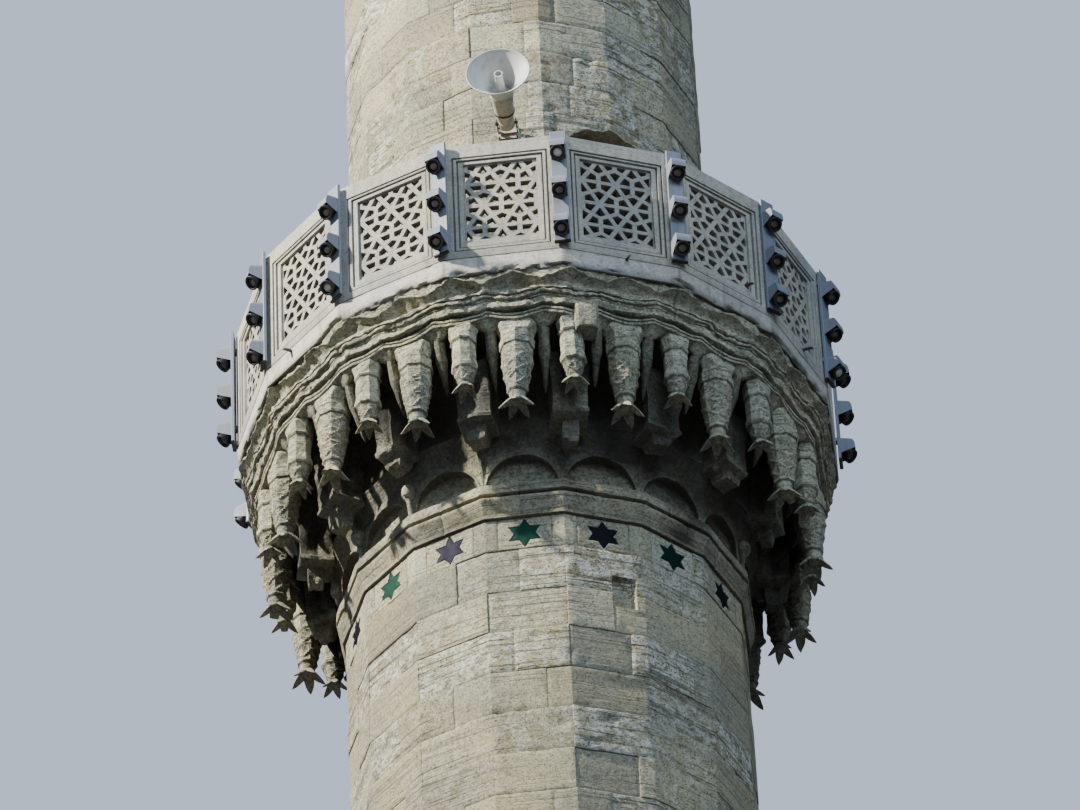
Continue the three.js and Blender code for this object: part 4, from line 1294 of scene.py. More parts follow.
def drop(number, girth, rows, field, size, seams):
    """One whole drop at its place on the ring: number counts half sides, even for corners. Its
    front is drawn in where it would stand past the slab's edge, and its back is darkened as
    painted shade."""
    level, turns, reach, mask, carved = drop_body(girth, rows, field)
    sideways, out = reach * np.sin(turns), reach * np.cos(turns)
    front = 0.078 + 0.06 * ease(-level, 0.03, 0.11)
    out = np.where(out > front - 0.02, front - 0.02 * np.exp((front - 0.02 - out) / 0.02), out)
    body = np.stack(np.broadcast_arrays(sideways, -out, level), axis=-1)
    seam = sum(near(level, line, 0.006) for line in seams)
    # The seams and the edges of the straps are darkened as painted shade.
    cavity = np.clip(0.9 * seam + carved * (0.22 * (1 - mask) + 1.5 * mask * (1 - mask)), 0, 1)
    # The back, towards the wall, is darkened as painted shade.
    grime_and_shade = 0.35 * ease(-out, -0.02, 0.08) + 0.40 * ease(-out, -0.02, 0.09) * ease(level, -0.25, 0.0)
    grime_and_shade = grime_and_shade + 0.35 * ease(-level, -girth[0, 0] - girth[-1, 0] - 0.02, -girth[-1, 0])
    petals = flower(size, number)
    for one in petals:
        one["points"][:, 2] += level[0, 0] + 0.050
        # The petals' backs, towards the wall, are darkened as painted shade.
        one["values"]["soot"] = one["values"]["soot"] + 0.35 * ease(one["points"][:, 1], -0.01, 0.05)
    angle = number * HALF + DROP_TURN
    radius = DROP_RADIUS * float(sixteen(np.array(angle - DROP_TURN)))
    return seat([loft(body, cavity=cavity, soot=grime_and_shade)] + petals, number, angle, radius)


LONG = {"girth": LONG_GIRTH, "rows": 64, "field": (-0.215, -0.515, 3), "size": 0.092, "seams": (-0.190, -0.112, -0.545)}
SHORT = {"girth": SHORT_GIRTH, "rows": 50, "field": (-0.345, -0.425, 1), "size": 0.076,
         "seams": (-0.333, -0.104, -0.436, -0.232)}
for name, first, kind in (("long_drops", 1, LONG), ("short_drops", 0, SHORT)):
    drops = [one for number in range(first, 2 * SIDES, 2) for one in drop(number, **kind)]
    add_piece(name, drops, [carved_stone], ["pendant_course"], sharp=30)

# %% [markdown]
# ### The skirt and the ribs
#
# The drops hang from a skirt whose lower edge is a row of small pointed arches, two between
# each pair of drops, with a thin rib where they meet. Behind the skirt a soffit, painted dark
# as shade, runs back to the wall of the second tier.

# %% Skirt, soffit and ribs
WAVES, SEAM_WAVE, LIP_RADIUS = 32, 0.020, 1.790
BLOCK_RINGS = np.array([(3.846, 0.90), (3.856, 0.97), (3.920, 1.0), (3.980, 1.0), (4.038, 0.98), (4.046, 0.93)])


def skirt():
    """The skirt's lower edge hangs lowest at drops and ribs, at twice the drops' pace: the
    arch is a power of the absolute cosine. Over it a waved lip and two thin lines stand out,
    and the section closes over the soffit."""
    angle = circle(WAVES * 24)
    phase = WAVES * (angle - DROP_TURN)
    wave = 2 * np.abs(np.cos(phase / 2)) - 1
    edge, lip = 3.982 - 0.048 * np.abs(np.cos(phase)) ** 1.1, 3.990 - 0.021 * wave
    gap = lip - edge
    front = [  # radius, level and shade
        (1.728, edge, 0.25), (1.738, edge + 0.15 * gap, 0.1),
        (1.752, edge + 0.5 * gap, 0.0), (1.770, edge + 0.85 * gap, 0.1),
        *((LIP_RADIUS + out, lip + lift, shade) for out, lift, shade in (
            (-0.012, 0, 0.35), (-0.002, 0.003, 0.0), (0, 0.017, 0.0), (-0.008, 0.020, 0.35), (-0.008, 0.025, 0.35),
            (0.003, 0.028, 0.0), (0.004, 0.042, 0.0), (-0.008, 0.046, 0.7))),
        (LIP_RADIUS - 0.008, 4.0435 - SEAM_WAVE * wave, 0.7),
    ]
    under = [
        (1.530, PENDANT + 0.004, 1.0), (1.640, PENDANT + 0.004, 1.0), (1.676, 0.5 * edge + 0.5 * 3.985, 1.0),
        (1.700, edge + 0.006, 0.9), (1.712, edge + 0.001, 0.8), (1.720, edge - 0.001, 0.7),
    ]
    outer, inner = (np.stack([place(radius * sixteen(angle), angle, level) for radius, level, _ in rows])
                    for rows in (front, under))
    chips = ease(rough_noise(outer, (0.12, 0.12, 0.06), 2, 123), 0.45, 0.9)
    bulge(outer, 0.007 * rough_noise(outer, (0.08, 0.08, 0.05), 3, 121) - 0.012 * chips, 1.7)
    bore = place(BORE_RADIUS * sixteen(angle), angle, np.array([CORNICE - GAP, PENDANT + GAP])[:, None])
    points = np.concatenate([outer, bore, inner])
    shade = np.tile(np.array([*(row[2] for row in front), 0, 0, *(row[2] for row in under)])[:, None], (1, len(angle)))
    shade[:len(outer)] *= ease(rough_noise(outer, (0.12, 0.12, 0.05), 2, 124), -0.55, 0.25)
    faces = [grid_quads(*points.shape[:2], ring=True, loop=True)]
    return outward(form(points, faces, cavity=0.8 * shade, soot=0.15 + 0.8 * shade**2))


def rib(number):
    """A thin pointed rib between two drops, an eye-shaped section that dwindles downwards
    and kinks once, as the carved ones do."""
    angle = (number + 0.5) * HALF + DROP_TURN
    length = 0.36 + 0.12 * cell_number(number, 3, 3, 123)
    part, lap = np.linspace(0, 1, 12)[:, None], circle(10)
    wide = 0.036 * (1 - part) ** 0.55 + 0.003 + 0.010 * near(part, 0.42, 0.10)
    deep = 0.050 * (1 - part) ** 0.6 + 0.004
    out = (1.690 - 0.12 * part**1.4) * float(sixteen(np.array(angle))) + deep * np.sin(lap)
    points = beside(angle, wide * np.cos(lap), out, 3.985 - length * part)
    points = points + 0.006 * rough_noise(points, 0.05, 2, 125)[..., None]
    return loft(points, cavity=0.35, soot=0.30 + 0.60 * part)


def corner_block():
    """At one corner the drop runs up into a squared block that stands in the cornice."""
    lap, (level, scale) = circle(24) + math.pi / 24, BLOCK_RINGS.T[:, :, None]
    reach = np.minimum(1 / np.maximum(np.abs(np.cos(lap)), 1e-6), 1 / np.maximum(np.abs(np.sin(lap)), 1e-6))
    sideways, out = 0.072 * reach * np.cos(lap) * scale, 1.752 + 0.072 * reach * np.sin(lap) * scale
    points = beside(DROP_TURN - STEP + 0.048, sideways, out, level)
    points = points + 0.008 * rough_noise(points, 0.05, 3, 127)[..., None]
    return loft(points, cavity=0.15, soot=0.12)


fringe = [skirt(), corner_block()] + [rib(number) for number in range(2 * SIDES)]
add_piece("skirt_and_ribs", fringe, [carved_stone], ["pendant_course"])

# %% [markdown]
# ## The cornice
#
# Over the skirt the cornice rises in waved mouldings whose crests stand between the drops, and
# ends in a row of eye-shaped hollows under zigzag ridges. It is one grid: each row has its own
# corner radius, level and share of the wave.

# %% The cornice
CORNICE_ROWS = np.array([  # corner radius, level, depth of the wave, and painted shade
    (1.796, 4.0440, 0.020, 0.5), (1.814, 4.047, 0.020, 0.0), (1.818, 4.060, 0.020, 0.0), (1.819, 4.074, 0.019, 0.0),
    (1.820, 4.088, 0.018, 0.0), (1.815, 4.091, 0.022, 0.35), (1.815, 4.096, 0.021, 0.35), (1.822, 4.099, 0.016, 0.0),
    (1.823, 4.104, 0.015, 0.0), (1.823, 4.107, 0.019, 0.5), (1.825, 4.112, 0.019, 0.5), (1.840, 4.115, 0.019, 0.0),
    (1.843, 4.124, 0.018, 0.0), (1.843, 4.132, 0.017, 0.0), (1.838, 4.134, 0.017, 0.5), (1.839, 4.139, 0.016, 0.5),
    (1.852, 4.141, 0.015, 0.0), (1.854, 4.151, 0.014, 0.0), (1.848, 4.154, 0.013, 0.3), (1.845, 4.157, 0.012, 0.3),
])
RIDGE_ROWS = np.array([  # corner radius, height over the ridge, and painted shade
    (1.882, 0.001, 0.1), (1.885, 0.004, 0.0), (1.886, 0.010, 0.0), (1.883, 0.014, 0.05), (1.871, 0.018, 0.7),
    (1.870, 0.026, 0.3),
])
TOP_ROW, RIDGE_LOW, RIDGE_RISE = (1.873, 0.35), 4.196, 0.074


def cornice_rows(angle):
    """Radius, level and painted shade of each row. Waved rows come first, then the eyes. Peak
    is a triangle wave that is 1 over the drops. The zigzag ridge stands near the slab there and
    falls by 74 mm between, and each eye is hollowed, and darkened as painted shade, by the sine
    of the way up it. The last rows fill the triangles over the ridge."""
    phase = WAVES * (angle - DROP_TURN)
    wave, peak = 2 * np.abs(np.cos(phase / 2)) - 1, np.abs(np.mod(phase / math.pi, 2) - 1)
    wander = 0.006 * soft_noise(place(1.8, angle, 4.1), 0.16, 137)
    radius, middle, depth, dark = CORNICE_ROWS.T[:, :, None]
    waved = radius, middle - depth * wave + wander * ease(middle, 4.044, 4.09), dark
    ridge, climb = RIDGE_LOW + RIDGE_RISE * peak + wander, np.linspace(0, 1, 9)[1:, None]
    hollow, start = np.sin(math.pi * climb) * peak**0.7, waved[1][-1]
    eyes = 1.848 + 0.030 * climb**1.5 - 0.042 * hollow, start + (ridge - start) * climb, 0.22 * hollow
    radius, lift, dark = RIDGE_ROWS.T[:, :, None]
    over, last = (radius, ridge + lift, dark), (TOP_ROW[0], [[SLAB - GAP]], TOP_ROW[1])
    spread = [np.broadcast_arrays(*rows, angle)[:3] for rows in (waved, eyes, over, last)]
    return [np.concatenate(rows) for rows in zip(*spread)]


def cornice():
    """The rows carried round, roughened and broken by noise, with joints between blocks whose
    lengths swing gently. The first and the last row keep their levels."""
    angle = circle(WAVES * 26)
    radius, level, cavity = cornice_rows(angle)
    level = np.minimum(level, SLAB - GAP)
    points = place(radius * sixteen(angle), angle, level)
    grain = rough_noise(points, (0.09, 0.09, 0.05), 3, 131)
    block = angle / STEP + 0.22 * np.sin(3 * angle)
    seam = near((block - np.round(block)) * STEP * 1.8, 0, 0.004) * ease(level, 4.05, 4.08)
    broken = ease(rough_noise(points, (0.13, 0.13, 0.05), 2, 133), 0.42, 0.8)
    worn = np.stack([rough_noise(points, (0.045, 0.045, 0.030), 3, seed) for seed in (138, 139)])
    relief = 0.013 * np.minimum(grain, 0.4) + 0.013 * np.minimum(worn[0], 0.5) - 0.020 * broken - 0.006 * seam
    bulge(points, relief, 1.8)
    points[1:-1, :, 2] += 0.008 * worn[1][1:-1]
    points[..., 2] = np.clip(points[..., 2], CORNICE + GAP, SLAB - GAP)
    cavity = cavity * ease(rough_noise(points, (0.12, 0.12, 0.05), 2, 140), -0.55, 0.25)
    # Grime from noise and on broken parts, and painted shade from the hollows.
    grime_and_shade = 0.15 * cavity + 0.34 * ease(rough_noise(points, (0.30, 0.30, 0.10), 3, 135), 0.15, 0.8) + 0.20 * broken
    cavity, soot = np.clip(cavity + 0.7 * seam, 0, 1), np.clip(grime_and_shade, 0, 0.9)
    return ring_form(points, CORNICE, SLAB, angle, cavity=cavity, soot=soot)


add_piece("cornice_carving", [cornice()], [carved_stone], ["cornice"])

# %% [markdown]
# ## The gallery's edge
#
# The panels stand on a ring of slabs whose edge is battered: its lower arris is chipped away,
# rain has streaked it, and its underside is painted black as shade. Rusty iron pins stick out
# of it here and there, left from older fittings. The ring is a section carried round like the
# others.

# %% Gallery edge and pins
EDGE_ROWS = np.array([  # corner radius, level, and painted shade, darkest under the slab
    (1.60, 4.3003, 0.9), (1.82, 4.3003, 0.9), (1.876, 4.3002, 0.8), (1.881, 4.281, 0.7), (1.888, 4.277, 0.5),
    (1.895, 4.281, 0.25), (1.898, 4.291, 0.1), (1.8995, 4.308, 0.05), (1.8995, 4.330, 0.0), (1.8995, 4.353, 0.0),
    (1.8995, 4.375, 0.0), (1.8995, 4.395, 0.0), (1.8995, 4.410, 0.1), (1.898, 4.4185, 0.5), (1.895, 4.4196, 0.6),
    (1.790, 4.4196, 0.15),
])
LANDING_RADIUS = 0.860
PINS = [(-1.438, 4.395, 0.060), (-0.177, 4.410, 0.055), (0.294, 4.582, 0.055), (0.617, 4.485, 0.070)]
PIN_RINGS = np.array([(-0.010, 0.011), (0.0, 0.011), (0.35, 0.010), (0.7, 0.009), (0.96, 0.009), (1.0, 0.005)])


def gallery_edge():
    """The section carried round. Chips bite where noise is high, deepest at the lower arris:
    their depth is scaled by how near the level is to the underside."""
    angle = np.linspace(-math.pi, math.pi, SIDES * 44, endpoint=False)
    out, level, dark = EDGE_ROWS.T[:, :, None]
    points = place(out * sixteen(angle), angle, level)
    low = near(level, 4.280, 0.030) * (out > 1.877)
    chip = ease(rough_noise(points, (0.11, 0.11, 0.06), 3, 141), -0.25, 0.6)
    small = 0.006 * ease(rough_noise(points, (0.07, 0.07, 0.05), 2, 143), 0.1, 0.8)
    bulge(points, -(0.034 * chip * low + small), PARAPET_RADIUS)
    points[..., 2] += 0.030 * chip * low
    seam = near(np.abs(np.mod(angle / STEP + 0.5, 1) - 0.5) * STEP * PARAPET_RADIUS, 0, 0.004)
    # Rain streaks from noise, and darker along the chipped lower arris.
    darkening = 0.45 * ease(rough_noise(points, (0.22, 0.22, 0.10), 3, 145), 0.15, 0.7) + (0.30 + 0.5 * chip) * low
    # Painted shade towards the side away from the key light.
    darkening = darkening + 0.31 * ease(angle, -0.42, 0.05)
    cavity, soot = np.clip(dark + 0.5 * seam, 0, 1), np.clip(darkening + 0.6 * dark, 0, 1)
    return ring_form(points, SLAB, WALK, angle, LANDING_RADIUS, cavity=cavity, soot=soot, wear=1.0)


def pin(angle, level, length):
    """A square rusty pin that sticks out of the edge and droops a little."""
    lap, (part, girth) = np.arange(6) * math.pi / 3, PIN_RINGS.T[:, :, None]
    reach = PARAPET_RADIUS * float(sixteen(np.array(angle))) + length * part
    return loft(beside(angle, girth * np.cos(lap), reach, level + girth * np.sin(lap) - 0.015 * part**2), 1)


edge = [gallery_edge()] + [pin(*spot) for spot in PINS]
add_piece("gallery_edge", edge, [marble, iron], ["gallery_floor"])

# %% [markdown]
# ## The parapet: pierced marble panels
#
# Sixteen slabs stand round the gallery. Each has a stepped frame and a window pierced by a
# lattice of six-part rosettes. The masons drilled kite-shaped holes, six round each centre, so
# that bands of even width are left between. One panel is worked out flat: rings of four
# corners step in from the slab's edge to the window, the holes are clipped to the window, and
# the surface between them is filled with triangles. It is then turned to each side.

# %% The lattice's holes
LATTICE, STRAP_HALF = 0.218, 0.0155
WINDOW_MIDDLE, WINDOW_HALF, WINDOW_RISE = 4.887, 0.2275, 0.350
HOLE_FLOOR, EDGE_LEFT, LEAST_AREA = -0.292, 0.004, 0.00022
CLIPS = (  # axis, limit, and whether what lies above the limit is kept
    (0, EDGE_LEFT - WINDOW_HALF, True), (0, WINDOW_HALF - EDGE_LEFT, False),
    (1, HOLE_FLOOR, True), (1, WINDOW_RISE - EDGE_LEFT, False),
)


def rosette_kites():
    """Corners of the six kites round a rosette's centre. A kite's tip lies two half straps
    out, its side corners half a strap in from the band's middle point both ways, and its far
    corner 1.1547 half straps short of the point where three bands meet."""
    kites = []
    for turn in np.arange(6) * math.pi / 3:
        ray = [np.array([math.cos(turn + k * math.pi / 6), math.sin(turn + k * math.pi / 6)]) for k in range(3)]
        level = [np.array([-r[1], r[0]]) for r in ray]
        first = ray[0] * (LATTICE / 2 - STRAP_HALF) + level[0] * STRAP_HALF
        second = ray[2] * (LATTICE / 2 - STRAP_HALF) - level[2] * STRAP_HALF
        far = ray[1] * (LATTICE / math.sqrt(3) - 1.1547 * STRAP_HALF)
        kites.append(np.stack([ray[1] * 2 * STRAP_HALF, first, far, second]))
    return kites


def clipped(corners, axis, limit, keep_above):
    """Cuts a convex outline at a line: corners on the kept side stay, and a new corner goes
    in wherever an edge crosses the line."""
    side = (corners[:, axis] - limit) * (1 if keep_above else -1)
    kept = []
    for here, there, a, b in zip(corners, np.roll(corners, -1, axis=0), side, np.roll(side, -1)):
        if a >= 0:
            kept.append(here)
        if a * b < 0:
            kept.append(here + (there - here) * a / (a - b))
    return np.array(kept).reshape(-1, 2)


def area(corners):
    """Area of an outline: half the sum of the cross products of neighbouring corners."""
    following = np.roll(corners, -1, axis=0)
    return 0.5 * np.sum(corners[:, 0] * following[:, 1] - corners[:, 1] * following[:, 0])


def lattice_holes():
    """All kites of the rosettes in and around the window, clipped to it, without slivers."""
    found = []
    for row, column in np.ndindex(7, 7):
        row, column = row - 3, column - 3
        centre = np.array([(column + 0.5 * ((row + 1) % 2)) * LATTICE, row * LATTICE * math.sqrt(3) / 2])
        for kite in rosette_kites():
            hole = kite + centre
            for clip in CLIPS:
                hole = clipped(hole, *clip) if len(hole) else hole
            if len(hole) > 2 and area(hole) > LEAST_AREA:
                found.append(hole)
    return found


holes = lattice_holes()
print(len(holes), "holes in each panel, strap width", 2 * STRAP_HALF)

# %% One panel, worked out flat
PANEL_FACE = PARAPET_RADIUS * math.cos(HALF)
PANEL_RINGS = np.array([  # half width, foot and head from the window's middle, out, and painted shade
    (0.2275, -0.320, 0.350, -0.067, 0.6), (0.2275, -0.320, 0.350, -0.078, 0.5),
    (0.2300, -0.322, 0.352, -0.0800, 0.2), (0.3514, -0.4636, 0.514, -0.0800, 0.0),
    (0.3542, -0.4664, 0.5168, -0.0775, 0.0), (0.3698, -0.4667, 0.5168, -0.0030, 0.4),
    (0.3672, -0.4640, 0.514, 0.0, 0.0), (0.2992, -0.407, 0.407, 0.0, 0.0),
    (0.2975, -0.4055, 0.4055, -0.0190, 0.65), (0.2890, -0.397, 0.397, -0.0190, 0.65),
    (0.2875, -0.3955, 0.3955, -0.0040, 0.1), (0.2700, -0.377, 0.385, -0.0040, 0.0),
    (0.2685, -0.3755, 0.3835, -0.0240, 0.7), (0.2605, -0.366, 0.3755, -0.0240, 0.7),
    (0.2590, -0.364, 0.374, -0.0130, 0.1), (0.2315, -0.325, 0.354, -0.0140, 0.0),
    (0.2300, -0.323, 0.3525, -0.0290, 0.6), (0.2275, -0.320, 0.350, -0.0300, 0.3),
])
# Scale, out and painted shade of each ring round the holes: the holes' walls are darkened as shade.
HOLE_LAYERS = ((0.88, -0.067, 0.6), (0.84, -0.064, 0.95), (1.0, -0.0325, 0.75), (1.06, -0.0300, 0.1))


def pierced_plate(outline, holes, flip):
    """Triangles that fill an outline around its holes."""
    loops = [outline] + holes
    triangles = np.array(tessellate_polygon([[Vector((x, y, 0)) for x, y in loop] for loop in loops]))
    points = np.concatenate(loops)
    a, b, c = (points[triangles[:, k]] for k in range(3))
    turned = (b[:, 0] - a[:, 0]) * (c[:, 1] - a[:, 1]) - (b[:, 1] - a[:, 1]) * (c[:, 0] - a[:, 0]) < 0
    triangles[turned] = triangles[turned][:, ::-1]
    return triangles[:, ::-1] if flip else triangles


def flat_panel():
    """Rings in order from the back of the window round the edge to its front, then the pierced
    face on both sides, with a small bevel round every hole and walls between. Points are
    sideways, up from the window's middle, and out from the slab's face."""
    wide, low, high, out, dark = PANEL_RINGS.T
    corners = [(wide, low, out), (wide, high, out), (-wide, high, out), (-wide, low, out)]
    ring = np.array(corners).transpose(2, 0, 1)
    points, faces, cavity = [ring.reshape(-1, 3)], [grid_quads(len(ring), 4, ring=True)], [np.repeat(dark, 4)]
    corners, count = np.concatenate(holes), ring.size // 3
    middle = np.concatenate([np.tile(hole.mean(axis=0), (len(hole), 1)) for hole in holes])
    ends = np.cumsum([0] + [len(hole) for hole in holes])
    spans = list(zip(ends[:-1], ends[1:]))
    for scale, out, shade in HOLE_LAYERS:
        points.append(np.column_stack([middle + (corners - middle) * scale, np.full(len(corners), out)]))
        cavity.append(np.full(len(corners), shade))
    here = np.arange(len(corners))
    following = np.concatenate([np.roll(here[a:b], -1) for a, b in spans])
    for layer in range(3):
        low, high = count + layer * len(corners), count + (layer + 1) * len(corners)
        faces.append(np.stack([low + here, high + here, high + following, low + following], axis=-1))
    for layer, first, flip in ((0, 0, True), (3, count - 4, False)):
        spread = middle + (corners - middle) * HOLE_LAYERS[layer][0]
        triangles = pierced_plate(ring[0 if flip else -1][:, :2], [spread[a:b] for a, b in spans], flip)
        faces.append(np.where(triangles < 4, triangles + first, triangles - 4 + count + layer * len(corners)))
    return np.concatenate(points), faces, np.concatenate(cavity)


panel_points, panel_faces, panel_shade = flat_panel()
print("one flat panel has", len(panel_points), "points")

# %% Sixteen panels
sideways, rise, out = panel_points.T
# Darker towards each panel's foot.
foot_darkening = 0.25 * ease(-rise, 0.36, 0.47)
for number in range(SIDES):
    points = beside((number + 0.5) * STEP, sideways, PANEL_FACE + out, WINDOW_MIDDLE + rise)
    panel = form(points, panel_faces, cavity=panel_shade, soot=foot_darkening)
    add_piece(f"parapet_{number + 1:02d}", [panel], [marble], [f"parapet_panel_{number + 1:02d}"])

# %% [markdown]
# ## Light bars
#
# At every corner a painted steel strip stands on spacers, with three lamps. Each lamp is a
# black round fitting that looks down and out from under a folded sheet hood. The hood is a
# loft down its outside and back up its inside, so the sheet has real thickness.

# %% Strip, hood and lamp
BAR_OUT, BAR_DEEP, BAR_FOOT, BAR_HEAD, BAR_HALF, BAR_SEAT = 1.910, 0.020, 4.447, 5.406, 0.050, -0.0098
LAMP_LEVELS, LAMP_TILT, LAMP_OUT, LAMP_LIFT = (4.505, 4.832, 5.159), math.radians(47), 0.063, 0.018
PALE_LENS = {(15, 2), (13, 0), (2, 0)}
HOOD_RINGS = np.array([  # half width, near and far edge, level at the back and at the front
    (0.028, 0.024, 0.060, 0.127, 0.122), (0.043, 0.021, 0.088, 0.128, 0.114), (0.046, 0.020, 0.097, 0.125, 0.106),
    (0.046, 0.020, 0.106, 0.105, 0.088), (0.046, 0.020, 0.1115, 0.060, 0.060), (0.046, 0.020, 0.1115, 0.0, 0.036),
    (0.0435, 0.0222, 0.1090, 0.0, 0.036), (0.0435, 0.0222, 0.1040, 0.060, 0.062),
    (0.0435, 0.0222, 0.0950, 0.095, 0.086), (0.030, 0.030, 0.070, 0.116, 0.108),
])
LAMP_BODY = np.array([  # girth and reach
    (0.010, -0.030), (0.036, -0.028), (0.044, -0.016), (0.0445, 0.010), (0.048, 0.014), (0.049, 0.030),
    (0.0465, 0.034), (0.038, 0.034), (0.0345, 0.026), (0.032, 0.018), (0.012, 0.0165),
])
LAMP_LENS = np.array([
    (0.006, 0.012), (0.0272, 0.015), (0.0290, 0.0205), (0.025, 0.0245), (0.016, 0.0275), (0.005, 0.0285),
])


def rounded_box(half, back, front, low, high, cut):
    """A box with chamfered edges: four rings of eight corners, the outer two drawn in."""
    rings = []
    for level, inset in ((low, cut), (low + cut, 0), (high - cut, 0), (high, cut)):
        x, a, b = half - inset, back + inset, front - inset
        spots = ((x, a + cut), (x, b - cut), (x - cut, b), (cut - x, b),
                 (-x, b - cut), (-x, a + cut), (cut - x, a), (x - cut, a))
        rings.append([(*spot, level) for spot in spots])
    return np.array(rings)


def hood(level):
    """Rings of four corners: out along the hood's sloping top, down its front and sides, round
    the rim, and back up the inside. The back edge stays higher than the front one."""
    half, back, front, high, low = HOOD_RINGS.T
    high, low = high + level, low + level
    corners = [(half, back, high), (half, front, low), (-half, front, low), (-half, back, high)]
    return np.array(corners).transpose(2, 0, 1)


def lathed(profile, count):
    """A profile of girth and reach turned round an axis: two places across the axis, the girth
    times the cosine and the sine of the turn, and the reach along it."""
    lap, (girth, reach) = circle(count), profile.T[:, :, None]
    return girth * np.cos(lap), girth * np.sin(lap), reach


def lamp_turned(profile, level):
    """A turned form on the lamp's own axis, which starts inside the hood and looks down and
    out."""
    sideways, over, reach = lathed(profile, 26)
    out = LAMP_OUT + reach * math.cos(LAMP_TILT) + over * math.sin(LAMP_TILT)
    height = level + LAMP_LIFT - reach * math.sin(LAMP_TILT) + over * math.cos(LAMP_TILT)
    return np.stack([sideways, out, height], axis=-1)


print("a lamp is", round(2 * LAMP_BODY[:, 0].max(), 3), "m across")

# %% Sixteen light bars


def light_bar(corner):
    """Strip, dark foot, two spacers and three hooded lamps, one with a pale lens here and
    there. Each is carried from its own place, sideways, out and up, to the corner. The bar
    lies flat to the panel beside it, so it is turned by half a side."""
    parts = [(rounded_box(BAR_HALF, 0.0, BAR_DEEP, BAR_FOOT, BAR_HEAD, 0.0025), 0),
             (rounded_box(BAR_HALF + 0.0004, 0.002, BAR_DEEP + 0.0035, BAR_FOOT - 0.0002, BAR_FOOT + 0.011, 0.001), 2)]
    for level in (4.620, 5.290):
        spacer = rounded_box(0.020, BAR_SEAT, 0.004, level - 0.015, level + 0.015, 0.001)
        parts.append((spacer - np.array([0.030, 0, 0]), 0))
    for index, level in enumerate(LAMP_LEVELS):
        lens = 4 if (corner, index) in PALE_LENS else 3
        parts += [(hood(level), 1), (lamp_turned(LAMP_BODY, level), 2), (lamp_turned(LAMP_LENS, level), lens)]
    spot, turn = place(BAR_OUT, corner * STEP, 0.0), corner * STEP - HALF
    return [loft(spot + beside(turn, *np.moveaxis(points, -1, 0)), paint) for points, paint in parts]


bar_paints = [grey_paint, pale_paint, lamp_black, lamp_glass, pale_lens]
for corner in range(SIDES):
    nodes = [f"light_bar_{corner + 1:02d}"]
    add_piece(f"lights_{corner + 1:02d}", light_bar(corner), bar_paints, nodes)

# %% [markdown]
# ## The horn loudspeaker
#
# A horn points out over the parapet. Sound leaves the driver through a tube inside the bell
# and turns back on itself, so the tube's end shows in the middle. All its parts are turned
# forms on one level line that points out from the shaft.

# %% Horn
HORN_ANGLE, HORN_LEVEL = -1.5 * STEP, 6.190
SHAFT_FACE = UPPER_RADIUS * math.cos(HALF)
DRIVER = np.array([  # girth and reach, as in all the lists here
    (0.030, 0.070), (0.050, 0.071), (0.052, 0.076), (0.052, 0.118), (0.048, 0.122), (0.049, 0.130), (0.060, 0.200),
    (0.064, 0.204), (0.0645, 0.214), (0.0615, 0.219), (0.068, 0.300), (0.0725, 0.352), (0.0765, 0.356),
    (0.0765, 0.366), (0.070, 0.3685), (0.062, 0.369),
])
INNER_TUBE = np.array([
    (0.020, 0.3695), (0.036, 0.3695), (0.033, 0.400), (0.0275, 0.470), (0.0265, 0.530), (0.0285, 0.536),
    (0.0285, 0.5395), (0.022, 0.5395), (0.021, 0.500), (0.008, 0.499),
])
BAND = np.array([
    (0.058, 0.1985), (0.0652, 0.200), (0.0668, 0.203), (0.0668, 0.2115), (0.0655, 0.2145), (0.058, 0.2155),
])


def horn_part(sideways, out, height, paint=0):
    """A loft whose points are given sideways, out and up from the horn's side of the shaft."""
    return loft(beside(HORN_ANGLE, sideways, SHAFT_FACE + out, HORN_LEVEL + height), paint)


def horn_turned(profile, count, paint=0):
    """A turned form on the horn's axis."""
    sideways, height, reach = lathed(profile, count)
    return horn_part(sideways, reach, height, paint)


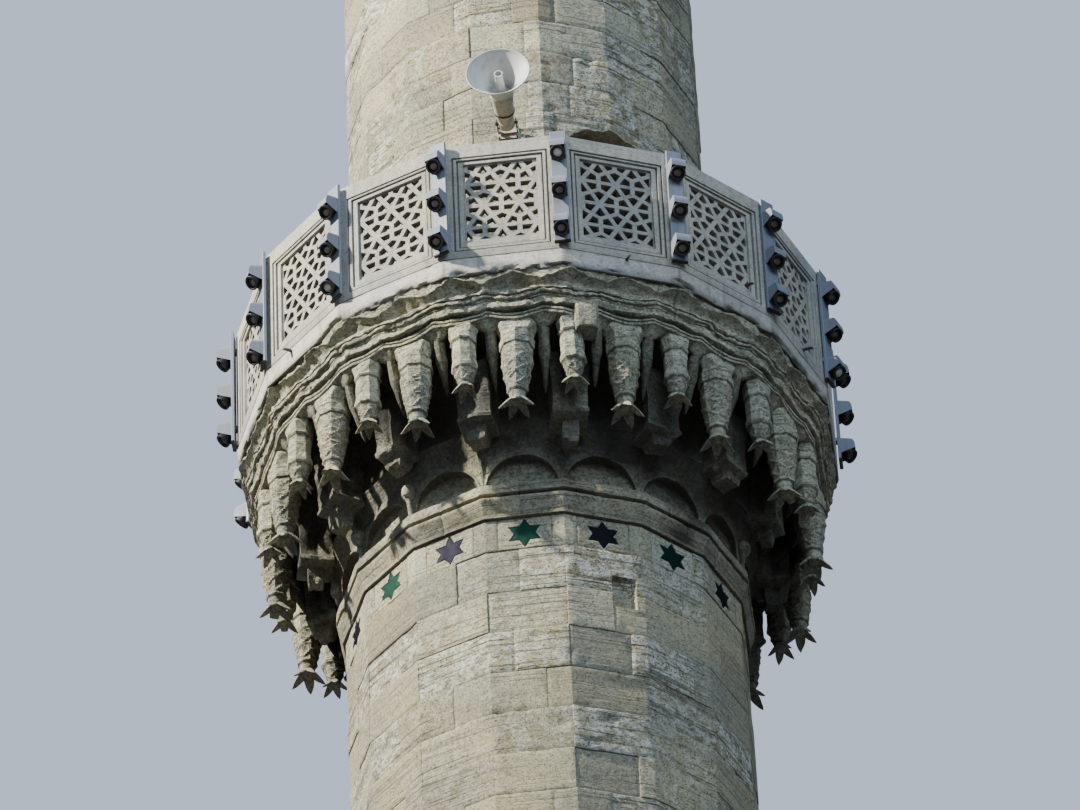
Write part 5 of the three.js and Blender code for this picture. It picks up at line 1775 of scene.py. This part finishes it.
def bell_profile():
    """Outside from the throat to the rim and back inside: girth grows with the reach raised
    to the power 1.7, and the rim is rolled."""
    part, lap = np.linspace(0, 1, 15), np.linspace(-0.6, 2.6, 7)
    flare = np.column_stack([0.074 + 0.126 * part**1.7, 0.372 + 0.180 * part])
    rim = np.column_stack([0.2005 + 0.0042 * np.cos(lap), 0.5555 + 0.0042 * np.sin(lap)])
    return np.concatenate([[(0.0745, 0.360)], flare, rim, flare[::-1] + (-0.0045, 0.0015), [(0.066, 0.362)]])


add_piece("horn_cone", [horn_turned(bell_profile(), 48)], [horn_paint], ["horn_bell"])
driver = [horn_turned(DRIVER, 40), horn_turned(BAND, 40, 2), horn_turned(INNER_TUBE, 28, 1)]
add_piece("horn_driver_body", driver, [horn_dirty, horn_paint, iron], ["horn_driver"])

# %% The horn's bracket
BRACKET_BOXES = (  # half width, back, front, foot, head, chamfer
    (0.068, 0.0003, 0.008, -0.050, 0.050, 0.002), (0.065, 0.016, 0.022, -0.015, 0.015, 0.002),
    (0.020, 0.0085, 0.018, -0.012, 0.012, 0.001),
)
BOLT = np.array([(0.008, 0.0522), (0.0095, 0.064), (0.0095, 0.0715), (0.008, 0.0725)])
NUT = np.array([(0.007, 0.011), (0.008, 0.012), (0.008, 0.018), (0.006, 0.0195)])


def horn_bracket():
    """A wall plate, two arms joined by a bridge, the bolts that hold the driver, and the nuts
    that hold the plate."""
    forms = [horn_part(*np.moveaxis(rounded_box(*box), -1, 0), 1) for box in BRACKET_BOXES]
    first, second, reach = lathed(BOLT, 6)
    nut_first, nut_second, nut_reach = lathed(NUT, 6)
    for side in (-1, 1):
        arm = rounded_box(0.0032, 0.018, 0.126, -0.015, 0.015, 0.0012) + np.array([side * 0.0606, 0, 0])
        forms.append(horn_part(*np.moveaxis(arm, -1, 0)))
        forms.append(horn_part(side * reach, 0.096 + first, second))
        for height in (0.044, -0.044):
            forms.append(horn_part(side * 0.058 + nut_first, nut_reach, height + nut_second))
    return forms


add_piece("horn_holder", horn_bracket(), [iron, horn_dirty], ["horn_bracket"])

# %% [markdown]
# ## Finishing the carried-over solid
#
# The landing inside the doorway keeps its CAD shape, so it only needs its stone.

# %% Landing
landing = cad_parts["landing_floor"]
landing.data.materials.clear()
landing.data.materials.append(limestone)
